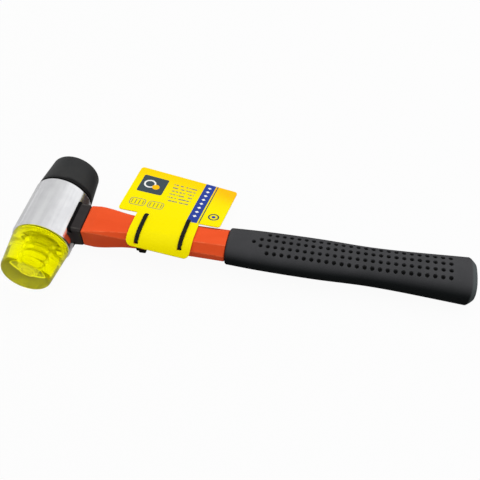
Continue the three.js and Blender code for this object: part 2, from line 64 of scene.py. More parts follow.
class Body(str, Enum):
    """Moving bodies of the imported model."""

    HANDLE = "head_and_handle"
    PLASTIC_WASHER = "plastic_washer"
    PLASTIC_END = "plastic_end"
    RUBBER_WASHER = "rubber_washer"
    RUBBER_END = "rubber_end"


class End(Enum):
    """The head's two ends, as directions along its axis."""

    PLASTIC = -1
    RUBBER = 1


class Row(Enum):
    """What the rows of a turned profile carry."""

    PLAIN = "plain"
    THREAD = "thread"
    FADING_THREAD = "fading thread"
    INNER_THREAD = "inner thread"
    TEETH = "teeth"
    FLUTES = "flutes"


Profile = list[tuple[np.ndarray, Row]]


# Places and meshes


@dataclass(frozen=True)
class Lie:
    """How the mallet lies on the ground: a turn and the place of the head's centre.

    Attributes:
        turn: The handle's, the head axis's and the upward direction as columns.
        centre: The head's centre in metres.
    """

    turn: np.ndarray
    centre: np.ndarray

    @classmethod
    def of_solids(cls) -> Lie:
        """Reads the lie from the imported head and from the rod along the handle.

        Returns:
            The lie, with X from the rod's near end to its far end and Y along the head's axis.
        """
        low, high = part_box("head_body")
        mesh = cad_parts["fibreglass_core"].data
        spots = np.empty(len(mesh.vertices) * 3)
        mesh.vertices.foreach_get("co", spots)
        spots = np.unique(spots.reshape(-1, 3).round(7), axis=0)
        far = spots[:, 0] > spots[:, 0].mean()
        along = spots[far].mean(axis=0) - spots[~far].mean(axis=0)
        along[1] = 0.0
        along /= np.linalg.norm(along)
        across = np.array([0.0, 1.0, 0.0])
        turn = np.stack([along, across, np.cross(along, across)], axis=1)
        return cls(turn, (np.array(low) + np.array(high)) / 2)

    def points(self, millimetres: np.ndarray) -> np.ndarray:
        """Turns points in the mallet's millimetres into points in the row's metres."""
        return METRES * millimetres @ self.turn.T + self.centre


@dataclass
class Skin:
    """One closed surface.

    Attributes:
        points: Its points in the mallet's millimetres.
        faces: Arrays of faces of three or four corners.
        marks: Values kept at its points, by name.
    """

    points: np.ndarray
    faces: list[np.ndarray]
    marks: dict[str, np.ndarray] = field(default_factory=dict)

    def volume(self) -> float:
        """Volume inside the skin: the sum over fan triangles of a dot (b cross c) / 6."""
        total = 0.0
        for faces in self.faces:
            for corner in range(1, faces.shape[1] - 1):
                a, b, c = (self.points[faces[:, k]] for k in (0, corner, corner + 1))
                total += float(np.einsum("ij,ij->", a, np.cross(b, c))) / 6
        return total

    def facing_out(self) -> Skin:
        """Turns the faces round if they point inwards."""
        if self.volume() < 0:
            self.faces = [faces[:, ::-1] for faces in self.faces]
        return self

    def moved(self, turn: np.ndarray, shift: np.ndarray) -> Skin:
        """A copy of the skin, turned by a matrix and then shifted."""
        return Skin(self.points @ turn.T + shift, list(self.faces), dict(self.marks)).facing_out()


def quads_between(rows: int, columns: int, first: int = 0, wrap_rows: bool = False) -> np.ndarray:
    """Faces of a grid whose columns close into rings.

    Args:
        rows: Rings in the grid.
        columns: Points in each ring.
        first: Number of the first point.
        wrap_rows: Whether the last ring joins the first.

    Returns:
        Faces of four corners: each point with its right neighbour, and the two above them.
    """
    ring = np.arange(columns)
    after = np.roll(ring, -1)
    row = np.arange(rows if wrap_rows else rows - 1)[:, None]
    above = (row + 1) % rows
    low, high = first + columns * row, first + columns * above
    return np.stack([low + ring, low + after, high + after, high + ring], axis=-1).reshape(-1, 4)


def with_poles(value: np.ndarray) -> np.ndarray:
    """Puts a grid's rows into one list, its first and last rows each as their mean."""
    inner = value[1:-1].reshape(-1, *value.shape[2:])
    return np.concatenate([value[:1].mean(axis=1), inner, value[-1:].mean(axis=1)])


def bulged(value: np.ndarray, power: float) -> np.ndarray:
    """A value's size to a power, with its own sign."""
    return np.sign(value) * np.abs(value) ** power


def capped(grid: np.ndarray, **marks: np.ndarray) -> Skin:
    """Closes a grid of rings whose first and last rings shrink to points.

    Args:
        grid: Points as rows, columns and three coordinates.
        marks: Values over the same rows and columns.

    Returns:
        A closed skin with a pole at each end.
    """
    rows, columns, _ = grid.shape
    points = with_poles(grid)
    ring = np.arange(columns)
    after = np.roll(ring, -1)
    last, top = len(points) - 1, 1 + columns * (rows - 3)
    start = np.stack([np.zeros_like(ring), 1 + after, 1 + ring], axis=-1)
    end = np.stack([np.full_like(ring, last), top + ring, top + after], axis=-1)
    faces = [quads_between(rows - 2, columns, 1), start, end]
    return Skin(points, faces, {name: with_poles(value) for name, value in marks.items()}).facing_out()


def hooped(grid: np.ndarray, **marks: np.ndarray) -> Skin:
    """Closes a grid of rings into a hoop: its last ring joins its first."""
    rows, columns, _ = grid.shape
    faces = [quads_between(rows, columns, 0, True)]
    kept = {name: value.reshape(-1) for name, value in marks.items()}
    return Skin(grid.reshape(-1, 3), faces, kept).facing_out()


def smooth(low: np.ndarray | float, high: np.ndarray | float, value: np.ndarray) -> np.ndarray:
    """Rises from 0 at low to 1 at high: with t the share of the way, 3 t squared less 2 t cubed."""
    share = np.clip((value - low) / (high - low), 0.0, 1.0)
    return share * share * (3 - 2 * share)


def quarter(size: float, points: int) -> tuple[np.ndarray, np.ndarray]:
    """A quarter circle at an end: how far each of its points is drawn in, and its way from the end."""
    bend = np.radians(np.linspace(0, 90, points))
    return size * (1 - np.sin(bend)), size * (1 - np.cos(bend))


def closed_ends(outline: np.ndarray, shares: tuple[float, ...]) -> np.ndarray:
    """Adds shrunken copies of the first and last outlines before and after the others."""
    shrink = np.array(shares)[:, None, None]
    return np.concatenate([outline[:1] * shrink, outline, outline[-1:] * shrink[::-1]])


def arc(radius: float, height: float, size: float, start: float, end: float, steps: int = 8) -> np.ndarray:
    """Rounded corner of a profile: the centre plus size times (cosine, sine) of the angle.

    Args:
        radius: Radius of the arc's centre.
        height: Height of the arc's centre.
        size: The arc's own radius.
        start: First angle in degrees.
        end: Last angle in degrees.
        steps: Stretches between the points.

    Returns:
        Points as radius and height.
    """
    angle = np.radians(np.linspace(start, end, steps + 1))
    return np.stack([radius + size * np.cos(angle), height + size * np.sin(angle)], axis=1)


def line(start: tuple[float, float], end: tuple[float, float], steps: int = 1) -> np.ndarray:
    """Straight run of a profile: the start plus equal shares of the way to the end."""
    return np.linspace(start, end, steps + 1)


def cubic_run(stations: np.ndarray, values: np.ndarray, along: np.ndarray) -> np.ndarray:
    """Smooth run of a size through its stations.

    Each stretch is a cubic. Its slope at a station is the mean of the slopes of the stretches on both sides,
    and at the two ends of the run it has no curvature.

    Args:
        stations: Places of the given values, in rising order.
        values: Values there.
        along: Places asked for.

    Returns:
        Values at those places.
    """
    count = len(stations)
    after = np.clip(np.searchsorted(stations, along, side="right"), 1, count - 1)
    before = after - 1
    prior = np.where(before > 0, before - 1, after)
    later = np.where(after < count - 1, after + 1, before)
    span = stations[after] - stations[before]
    share = (along - stations[before]) / span
    pull = 0.5 * span / (stations[before] - stations[prior])
    push = 0.5 * span / (stations[later] - stations[after])
    square, cube = share**2, share**3
    return (
        (-pull * cube + 2 * pull * square - pull * share) * values[prior]
        + ((1 + pull) * cube - (1.5 + 2 * pull) * square + (pull - 0.5) * share + 1) * values[before]
        + (-(1 + push) * cube + (1.5 + push) * square + 0.5 * share) * values[after]
        + push * (cube - square) * values[later]
    )


def rounded(corners: np.ndarray, fillet: np.ndarray | float, steps: int = 5) -> np.ndarray:
    """Rounds the corners of closed outlines.

    Each corner C gives way to the curve (1-s)(1-s) A + 2 s (1-s) C + s s B, where A and B lie on its two
    sides, a fillet's length away or nearly half the side, whichever is less. A point just outside each end
    of the curve keeps the sides flat.

    Args:
        corners: Corners in order, as rows of outlines, corners and two coordinates.
        fillet: Length of the rounding along the sides, for all corners or for each.
        steps: Points on each curve.

    Returns:
        Points in order, as rows of outlines, points and two coordinates.
    """
    ways = [np.roll(corners, turn, axis=1) - corners for turn in (1, -1)]
    lengths = [np.linalg.norm(way, axis=-1, keepdims=True) for way in ways]
    wanted = np.broadcast_to(np.asarray(fillet, float), corners.shape[1])[None, :, None]
    size = np.minimum(wanted, MOST_OF_SIDE * np.minimum(*lengths))
    before, after = (size * way / length for way, length in zip(ways, lengths))
    share = np.linspace(0, 1, steps)[:, None]
    centre, before, after = (part[:, :, None, :] for part in (corners, before, after))
    curve = centre + (1 - share) ** 2 * before + share**2 * after
    points = np.concatenate([centre + FLAT_FROM * before, curve, centre + FLAT_FROM * after], axis=2)
    return points.reshape(corners.shape[0], -1, 2)


@dataclass(frozen=True)
class Fitting:
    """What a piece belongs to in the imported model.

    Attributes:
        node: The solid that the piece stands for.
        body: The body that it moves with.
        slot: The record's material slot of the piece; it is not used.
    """

    node: str
    body: Body
    slot: str


def make_piece(
    skins: list[Skin], lie: Lie, fitting: Fitting, finish: Finish, crease: float = 35.0,
) -> bpy.types.Object:
    """Puts skins into one mesh, dresses it and hangs it on its body.

    Args:
        skins: Closed surfaces of the piece.
        lie: The mallet's lie.
        fitting: What the piece belongs to.
        finish: Its finish.
        crease: Angle in degrees past which an edge is sharp.

    Returns:
        The piece's object.
    """
    first = np.cumsum([0] + [len(skin.points) for skin in skins])
    points = lie.points(np.concatenate([skin.points for skin in skins]))
    parts = [part + shift for skin, shift in zip(skins, first) for part in skin.faces]
    faces = [face for part in parts for face in part.tolist()]
    mesh = bpy.data.meshes.new(f"{fitting.node}_looks")
    mesh.from_pydata(points.tolist(), [], faces)
    for name in skins[0].marks:
        values = np.concatenate([skin.marks[name] for skin in skins])
        kind, key = ("FLOAT", "value") if values.ndim == 1 else ("FLOAT_VECTOR", "vector")
        mesh.attributes.new(name, kind, "POINT").data.foreach_set(key, values.astype(np.float32).ravel())
    mesh.shade_smooth()
    mesh.set_sharp_from_angle(angle=math.radians(crease))
    mesh.materials.append(finish.material())
    piece = bpy.data.objects.new(f"{fitting.node}_looks", mesh)
    bpy.context.scene.collection.objects.link(piece)
    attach(piece, fitting.body.value)
    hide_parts(fitting.node)
    LOG.info("%s: %d points, %d faces", piece.name, len(points), len(faces))
    return piece


# Shader maths


def math_method(operation: str, reflected: bool = False) -> Callable[..., Wire]:
    """Makes one of a wire's operators.

    Args:
        operation: The Math node's operation.
        reflected: Whether the wire stands on the operator's right.

    Returns:
        A method that adds the node and gives its output.
    """

    def method(wire: Wire, other: Wire | float = 0.0) -> Wire:
        """Adds the node with the two values in their order."""
        values = (other, wire) if reflected else (wire, other)
        return wire.sheet.node("ShaderNodeMath", {"operation": operation}, dict(enumerate(values)))

    return method


class Wire:
    """One output socket, with arithmetic that adds Math nodes to its sheet."""

    def __init__(self, sheet: NodeSheet, socket: bpy.types.NodeSocket) -> None:
        """Keeps the socket and the sheet that it is on."""
        self.sheet = sheet
        self.socket = socket

    __add__, __radd__ = math_method("ADD"), math_method("ADD", True)
    __sub__, __rsub__ = math_method("SUBTRACT"), math_method("SUBTRACT", True)
    __mul__, __rmul__ = math_method("MULTIPLY"), math_method("MULTIPLY", True)
    __mod__, __rmod__ = math_method("FLOORED_MODULO"), math_method("FLOORED_MODULO", True)
    __pow__, __rpow__ = math_method("POWER"), math_method("POWER", True)
    __abs__, floor, root = math_method("ABSOLUTE"), math_method("FLOOR"), math_method("SQRT")
    most, least = math_method("MAXIMUM"), math_method("MINIMUM")

    def rise(self, low: float, high: float) -> Wire:
        """Rises smoothly from 0 at low to 1 at high."""
        settings = {"interpolation_type": "SMOOTHSTEP", "clamp": True}
        return self.sheet.node(
            "ShaderNodeMapRange", settings, {"Value": self, "From Min": low, "From Max": high}, "Result")

    def fall(self, low: float, high: float) -> Wire:
        """Falls smoothly from 1 at low to 0 at high."""
        return 1.0 - self.rise(low, high)


Colour = tuple[float, float, float, float]
Pair = tuple[float, float]
Triple = tuple[float, float, float]
Layer = tuple[Wire, Colour]


def ink(red: int, green: int, blue: int) -> Colour:
    """A colour as it shows on a screen, from 0 to 255, as a shader's linear colour."""
    share = np.array([red, green, blue]) / 255
    linear = np.where(share <= 0.04045, share / 12.92, ((share + 0.055) / 1.055) ** 2.4)
    return (*linear.tolist(), 1.0)


class NodeSheet:
    """Nodes of one material or of the world, and whatever is added to them."""

    def __init__(self, tree: bpy.types.NodeTree, material: bpy.types.Material | None = None) -> None:
        """Works on a tree, with the shader that its material has."""
        self.tree = tree
        self.material = material
        self.shader = next((n for n in tree.nodes if n.type == "BSDF_PRINCIPLED"), None)
        self.place: Wire | None = None

    @classmethod
    def new(cls, name: str) -> NodeSheet:
        """Starts a material with one shader."""
        material = bpy.data.materials.new(name)
        material.use_nodes = True
        return cls(material.node_tree, material)

    def node(self, kind: str, settings: dict | None = None, values: dict | None = None,
             output: int | str = 0) -> Wire:
        """Adds a node.

        Args:
            kind: The node's type.
            settings: Its properties, which are set first.
            values: Values or wires of its input sockets, by name or number.
            output: Name or number of the output socket that is wanted.

        Returns:
            That output.
        """
        node = self.tree.nodes.new(kind)
        for name, value in (settings or {}).items():
            setattr(node, name, value)
        for name, value in (values or {}).items():
            if isinstance(value, Wire):
                self.tree.links.new(value.socket, node.inputs[name])
            else:
                node.inputs[name].default_value = value
        return Wire(self, node.outputs[output])

    def coordinates(self) -> Wire:
        """The piece's own coordinates, in metres."""
        if self.place is None:
            self.place = self.node("ShaderNodeTexCoord", output="Object")
        return self.place

    def stretched(self, scale: Triple, turn: Triple = (0, 0, 0)) -> Wire:
        """The piece's coordinates, turned and then stretched along each axis."""
        return self.node("ShaderNodeMapping", {"vector_type": "POINT"},
                         {"Vector": self.coordinates(), "Scale": scale, "Rotation": turn})

    def noise(self, scale: float, detail: float = 2.0, rough: float = 0.5, place: Wire | None = None) -> Wire:
        """Noise from 0 to 1 with so many grains to the metre."""
        values = {"Vector": place or self.coordinates(), "Scale": scale, "Detail": detail, "Roughness": rough}
        return self.node("ShaderNodeTexNoise", values=values)

    def part(self, vector: Wire, axis: str) -> Wire:
        """One coordinate of a vector."""
        return self.node("ShaderNodeSeparateXYZ", values={0: vector}, output=axis)

    def value_of(self, mark: str) -> Wire:
        """A value kept at the piece's points."""
        return self.node("ShaderNodeAttribute", {"attribute_name": mark}, output="Fac")

    def mix(self, share: Wire | float, first: Wire | Colour, second: Wire | Colour) -> Wire:
        """A colour part of the way from the first to the second."""
        return self.node("ShaderNodeMix", {"data_type": "RGBA"}, {0: share, 6: first, 7: second}, 2)

    def bump(self, height: Wire, distance: float, strength: float = 1.0) -> Wire:
        """A normal that follows a height of so many metres."""
        values = {"Height": height, "Distance": distance, "Strength": strength}
        return self.node("ShaderNodeBump", values=values, output="Normal")

    def shade(self, **sockets: Wire | float | Colour) -> None:
        """Sets or links the shader's sockets, with spaces in their names written as underscores."""
        for name, value in sockets.items():
            socket = self.shader.inputs[name.replace("_", " ")]
            if isinstance(value, Wire):
                self.tree.links.new(value.socket, socket)
            else:
                socket.default_value = value


# Finishes


@dataclass(frozen=True)
class Finish:
    """A finish that makes its material once."""

    name: str

    def paint(self, sheet: NodeSheet) -> None:
        """Sets the shader's sockets."""
        raise NotImplementedError

    def material(self) -> bpy.types.Material:
        """The finish's material, made at its first use."""
        found = bpy.data.materials.get(self.name)
        if found is None:
            sheet = NodeSheet.new(self.name)
            self.paint(sheet)
            found = sheet.material
        return found


@dataclass(frozen=True)
class ChromePlate(Finish):
    """Bright plate over a turned blank: a faint haze, slight ripple and turning marks round the axis."""

    clean: Colour = ink(250, 251, 252)
    hazed: Colour = ink(222, 222, 225)

    def paint(self, sheet: NodeSheet) -> None:
        """Haze lifts the roughness; the turning marks lie across the head's axis."""
        haze = sheet.noise(55.0, 4.0, 0.6)
        marks = sheet.noise(1.0, 2.0, 0.5, sheet.stretched((30.0, 2600.0, 30.0)))
        streaks = sheet.noise(1.0, 3.0, 0.6, sheet.stretched((150.0, 9.0, 150.0)))
        dull = haze.rise(0.35, 0.7) * 0.4 + streaks.rise(0.3, 0.7) * 0.6
        sheet.shade(
            Base_Color=sheet.mix(dull, self.clean, self.hazed),
            Metallic=1.0,
            Roughness=0.12 + 0.10 * haze.rise(0.3, 0.75) + 0.04 * marks,
            Normal=sheet.bump(streaks * 0.5 + haze * 0.8 + marks * 0.05, 0.00009, 0.3),
        )


@dataclass(frozen=True)
class ClearPlastic(Finish):
    """Clear yellow plastic, clouded a little inside, with handling marks on its skin."""

    body: Colour = ink(255, 254, 0)
    cloud: Colour = ink(246, 240, 0)
    glint: Colour = ink(160, 155, 0)

    def paint(self, sheet: NodeSheet) -> None:
        """Clouds change the colour; fine scuffs change the roughness."""
        clouds = sheet.noise(90.0, 3.0, 0.55)
        scuffs = sheet.noise(1.0, 3.0, 0.6, sheet.stretched((420.0, 90.0, 420.0), (0.3, 0.2, 0.5)))
        sheet.shade(
            Base_Color=sheet.mix(clouds.rise(0.4, 0.75), self.body, self.cloud),
            Roughness=0.02 + 0.06 * scuffs.rise(0.5, 0.8),
            IOR=1.36,
            Specular_IOR_Level=0.0,
            Specular_Tint=self.glint,
            Transmission_Weight=0.82,
            Normal=sheet.bump(sheet.noise(160.0, 2.0), 0.00004, 0.4),
        )


@dataclass(frozen=True)
class Rubber(Finish):
    """Dark rubber with a fine grain, dulled in patches, with painted shade in marked hollows and painted light
    on a marked bevel and a marked crown.
    """

    dark: Colour
    pale: Colour
    grain: float
    depth: float
    gloss: float = 0.5
    shine: float = 0.25
    painted_shade_mark: str = ""
    lit_bevel_mark: str = ""
    top_light_mark: str = ""
    # Paler colour painted as light on a marked bevel.
    rubbed_and_lit: Colour = ink(92, 100, 100)
    # Near-black colour painted as shade in marked hollows and bands.
    hollow: Colour = ink(4, 4, 4)

    def paint(self, sheet: NodeSheet) -> None:
        """Patches mix the two colours, and a marked crown takes the paler one as painted light; the grain sets
        bump and roughness; marked hollows are painted dark as shade, and a marked bevel paler as light.
        """
        patches = sheet.noise(70.0, 3.0, 0.6)
        grain = sheet.noise(self.grain, 2.0, 0.6)
        dust_and_top_light = patches.rise(0.3, 0.75) * 0.8 + grain * 0.2
        # Painted light: where a crown is marked, it takes the paler colour and the rest the darker, as a lit
        # top and shaded sides.
        if self.top_light_mark:
            dust_and_top_light = sheet.value_of(self.top_light_mark) * (0.75 + 0.25 * dust_and_top_light)
        colour = sheet.mix(dust_and_top_light, self.dark, self.pale)
        # Painted shade: marked hollows and bands go near-black.
        if self.painted_shade_mark:
            colour = sheet.mix(sheet.value_of(self.painted_shade_mark), colour, self.hollow)
        # Painted light: a marked bevel goes paler, in patches.
        if self.lit_bevel_mark:
            rubbed_and_lit = sheet.value_of(self.lit_bevel_mark) * (0.35 + 0.4 * patches)
            colour = sheet.mix(rubbed_and_lit, colour, self.rubbed_and_lit)
        sheet.shade(
            Base_Color=colour,
            Roughness=self.gloss + 0.14 * patches + 0.06 * grain,
            Specular_IOR_Level=self.shine,
            Normal=sheet.bump(grain, self.depth, 0.5),
        )


@dataclass(frozen=True)
class MouldedPlastic(Finish):
    """Moulded plastic: a fine grain from the mould, soft flow clouds, paler worn ridges, and near-black painted
    shade where marked.
    """

    body: Colour
    cloud: Colour
    rubbed_and_lit: Colour
    gloss: float = 0.36
    grain: float = 2600.0
    shine: float = 0.08
    ridge_mark: str = "ridge"
    sunk_mark: str = "sunk"
    # Near-black colour painted as shade on marked parts, such as the sheet round the collar's edge.
    sunk: Colour = ink(5, 5, 5)

    def paint(self, sheet: NodeSheet) -> None:
        """Clouds follow the handle; the ridge mark brings out the paler worn colour; the shade mark paints
        near-black shade.
        """
        clouds = sheet.noise(1.0, 3.0, 0.55, sheet.stretched((25.0, 110.0, 110.0)))
        grain = sheet.noise(self.grain, 2.0, 0.5)
        ridge = sheet.value_of(self.ridge_mark) * sheet.noise(340.0, 3.0, 0.6).rise(0.3, 0.7)
        colour = sheet.mix(clouds.rise(0.3, 0.75), self.body, self.cloud)
        # Painted shade: marked parts go near-black.
        colour = sheet.mix(sheet.value_of(self.sunk_mark), colour, self.sunk)
        sheet.shade(
            Base_Color=sheet.mix(ridge * 0.55, colour, self.rubbed_and_lit),
            Roughness=self.gloss + 0.10 * clouds + 0.05 * grain - 0.06 * ridge,
            Specular_IOR_Level=self.shine,
            Normal=sheet.bump(grain, 0.000018, 0.5),
        )


@dataclass(frozen=True)
class TurnedSteel(Finish):
    """Bare steel with fine turning marks round the axis."""

    bright: Colour = ink(196, 196, 198)
    dull: Colour = ink(150, 150, 152)

    def paint(self, sheet: NodeSheet) -> None:
        """Turning marks change colour, roughness and bump across the axis."""
        marks = sheet.noise(1.0, 3.0, 0.6, sheet.stretched((60.0, 3800.0, 60.0)))
        sheet.shade(
            Base_Color=sheet.mix(marks, self.bright, self.dull),
            Metallic=1.0,
            Roughness=0.24 + 0.16 * marks,
            Normal=sheet.bump(marks, 0.00002, 0.5),
        )


@dataclass(frozen=True)
class GlassFibre(Finish):
    """Pulled glass-fibre rod: strands along the handle in pale resin."""

    resin: Colour = ink(222, 214, 178)
    strand: Colour = ink(240, 236, 214)

    def paint(self, sheet: NodeSheet) -> None:
        """Strands are noise drawn out along the handle."""
        strands = sheet.noise(1.0, 3.0, 0.6, sheet.stretched((12.0, 1500.0, 1500.0)))
        sheet.shade(
            Base_Color=sheet.mix(strands.rise(0.35, 0.65), self.resin, self.strand),
            Roughness=0.42 + 0.2 * strands,
            Normal=sheet.bump(strands, 0.00003, 0.5),
        )


@dataclass(frozen=True)
class CastResin(Finish):
    """Poured amber resin with small bubbles."""

    clear: Colour = ink(196, 160, 92)
    dark: Colour = ink(142, 108, 52)

    def paint(self, sheet: NodeSheet) -> None:
        """Bubbles are cells of noise; clouds mix the two ambers."""
        bubbles = sheet.noise(900.0, 1.0).rise(0.6, 0.75)
        sheet.shade(
            Base_Color=sheet.mix(sheet.noise(140.0, 3.0), self.clear, self.dark),
            Roughness=0.22 + 0.25 * bubbles,
            Normal=sheet.bump(bubbles, 0.00005, 0.5),
        )


@dataclass(frozen=True)
class PrintedCard(Finish):
    """Varnished card with a plain print, laid out in the card's own flat millimetres."""

    yellow: Colour = ink(247, 231, 0)
    orange: Colour = ink(252, 190, 10)
    blue: Colour = ink(44, 66, 152)
    slate: Colour = ink(66, 78, 84)
    grey: Colour = ink(112, 112, 116)
    white: Colour = ink(240, 240, 236)
    band_at: float = 15.0
    band_half: float = 3.4
    gem_pitch: float = 4.6
    rule_at: float = 19.6
    rule_half: float = 0.35
    square_at: Pair = (-20.0, 36.0)
    square_half: float = 8.4
    ring_at: Pair = (-22.2, 36.6)
    ring_radius: float = 3.4
    disc_at: Pair = (-17.6, 34.6)
    disc_radius: float = 2.4
    bars_from: float = 23.0
    bar_pitch: float = 3.4
    bar_half: float = 0.62
    tablets: Pair = (-23.5, -11.5)
    tablet_row: float = 17.6
    tablet_half: Pair = (4.9, 3.1)
    rib_pitch: float = 2.4
    target_at: Pair = (26.4, 17.5)
    soft: float = 0.12

    @staticmethod
    def _box(u: Wire, v: Wire, middle: Pair, half: Pair, corner: float) -> Wire:
        """Distance outside a box with rounded corners, negative inside it."""
        over_u = abs(u - middle[0]) - (half[0] - corner)
        over_v = abs(v - middle[1]) - (half[1] - corner)
        outer = (over_u.most(0.0) ** 2.0 + over_v.most(0.0) ** 2.0).root()
        return outer + over_u.most(over_v).least(0.0) - corner

    @staticmethod
    def _away(u: Wire, v: Wire, middle: Pair) -> Wire:
        """Distance from a middle point."""
        return ((u - middle[0]) ** 2.0 + (v - middle[1]) ** 2.0).root()

    def _inside(self, distance: Wire) -> Wire:
        """1 where a distance is negative, with a soft edge."""
        return distance.fall(-self.soft, self.soft)

    def _band(self, u: Wire, v: Wire) -> list[Layer]:
        """Blue band with white diamonds and a thin rule beside it, on the panel alone."""
        panel_only = v.rise(8.2, 8.6)
        off = abs(u - self.band_at)
        gems = off * 0.9 + abs((v - 8.0) % self.gem_pitch - self.gem_pitch / 2)
        return [
            (self._inside(off - self.band_half) * panel_only, self.blue),
            (gems.fall(1.05, 1.3) * v.rise(11.5, 12.0) * v.fall(47.5, 48.0), self.white),
            (self._inside(abs(u - self.rule_at) - self.rule_half) * panel_only, self.slate),
        ]

    def _square(self, u: Wire, v: Wire) -> list[Layer]:
        """Dark square with a white ring and an orange disc."""
        ring, disc = self._away(u, v, self.ring_at), self._away(u, v, self.disc_at)
        side = self.square_half
        return [
            (self._inside(self._box(u, v, self.square_at, (side, side), 1.2)), self.slate),
            (self._inside(abs(ring - self.ring_radius) - 0.55), self.white),
            (self._inside(disc - self.disc_radius), self.orange),
        ]

    def _bars(self, sheet: NodeSheet, u: Wire, v: Wire) -> list[Layer]:
        """Rows of grey bars, broken by noise that differs from row to row."""
        up = v - self.bars_from
        rows = up % self.bar_pitch - self.bar_pitch / 2
        number = (up * (1 / self.bar_pitch)).floor()
        spot = sheet.node("ShaderNodeCombineXYZ", values={0: u * 0.55, 1: number * 7.3})
        breaks = sheet.node("ShaderNodeTexNoise", {"noise_dimensions": "2D"},
                            {"Vector": spot, "Scale": 1.0, "Detail": 3.0, "Roughness": 0.7})
        bars = (abs(rows) - self.bar_half).fall(-0.2, 0.2) * breaks.rise(0.44, 0.5)
        field_of_bars = u.rise(-7.6, -7.2) * u.fall(7.8, 8.2) * up.rise(0.0, 0.2) * up.fall(20.2, 20.4)
        return [(bars * field_of_bars * 0.85, self.grey)]

    def _small_marks(self, u: Wire, v: Wire) -> list[Layer]:
        """Two ribbed tablets and a target."""
        layers: list[Layer] = []
        for middle in self.tablets:
            edge = self._box(u, v, (middle, self.tablet_row), self.tablet_half, 1.6)
            ribs = abs((u - middle) % self.rib_pitch - self.rib_pitch / 2) - 0.35
            layers.append((self._inside(abs(edge) - 0.22), self.grey))
            layers.append((self._inside(ribs) * self._inside(edge + 1.0) * 0.7, self.slate))
        target = self._away(u, v, self.target_at)
        layers.append((self._inside(abs(target - 3.0) - 0.5), self.slate))
        layers.append((self._inside(target - 1.3), self.blue))
        return layers

    def paint(self, sheet: NodeSheet) -> None:
        """Lays the inks down one after the other over a yellow ground that warms towards two edges."""
        flat = sheet.node("ShaderNodeAttribute", {"attribute_name": "flat"}, output="Vector")
        u, v, printed = (sheet.part(flat, axis) for axis in "XYZ")
        warm = (v.rise(30.0, 52.0) * 0.55 + u.rise(4.0, 34.0) * v.rise(22.0, 50.0) * 0.7).least(1.0)
        paper = sheet.noise(1800.0, 3.0, 0.6)
        colour = sheet.mix(warm + (paper - 0.5) * 0.08, self.yellow, self.orange)
        layers = self._band(u, v) + self._square(u, v) + self._bars(sheet, u, v) + self._small_marks(u, v)
        for share, layer_colour in layers:
            colour = sheet.mix(share * printed, colour, layer_colour)
        sheet.shade(
            Base_Color=colour,
            Roughness=0.30 + 0.12 * paper,
            Specular_IOR_Level=0.04,
            Normal=sheet.bump(paper + sheet.noise(120.0, 2.0) * 0.8, 0.00002, 0.35),
        )


CHROME = ChromePlate("bright_chrome")
YELLOW = ClearPlastic("clear_yellow_plastic")
# The face rubber's foot mark paints a near-black band at its seat as shade.
FACE_RUBBER = Rubber("black_face_rubber", ink(34, 35, 36), ink(46, 46, 45), 1500.0, 0.00004, 0.42, 0.22, "foot")
# Grip: the hole mark paints the holes near-black as shade, the butt mark paints a paler band on the butt's
# bevel as light, and the crown mark paints top and underside lighter than the sides.
GRIP_RUBBER = Rubber(
    "soft_grip_rubber", ink(20, 23, 24), ink(67, 67, 69), 2200.0, 0.00003, 0.5, 0.08, "hole", "butt", "crown",
)
WASHER = Rubber("black_washer", ink(24, 24, 24), ink(34, 34, 34), 1800.0, 0.00002, 0.6)
STEEL = TurnedSteel("turned_steel")
FIBRE = GlassFibre("glass_fibre_rod")
RESIN = CastResin("amber_resin")
COLLAR = MouldedPlastic("black_collar_plastic", ink(45, 42, 42), ink(54, 51, 50), ink(92, 88, 84), 0.42, 1900.0)
ORANGE = MouldedPlastic("orange_jacket_plastic", ink(236, 87, 42), ink(228, 80, 36), ink(248, 128, 84), 0.34)
NYLON = MouldedPlastic("black_tie_nylon", ink(16, 16, 15), ink(24, 24, 22), ink(64, 64, 58), 0.34)
PRINT = PrintedCard("printed_card")


# Head and faces


@dataclass(frozen=True)
class ScrewThread:
    """Round thread that both faces share."""

    pitch: float = 3.0
    root: float = 8.8
    height: float = 1.2
    clearance: float = 0.4
    fade: float = 1.5

    def swell(self, angle: np.ndarray, y: np.ndarray) -> np.ndarray:
        """Height over the root: it rises and falls as a cosine, once in each turn of the helix."""
        return self.height * (0.5 + 0.5 * np.cos(angle - TURN * y / self.pitch))


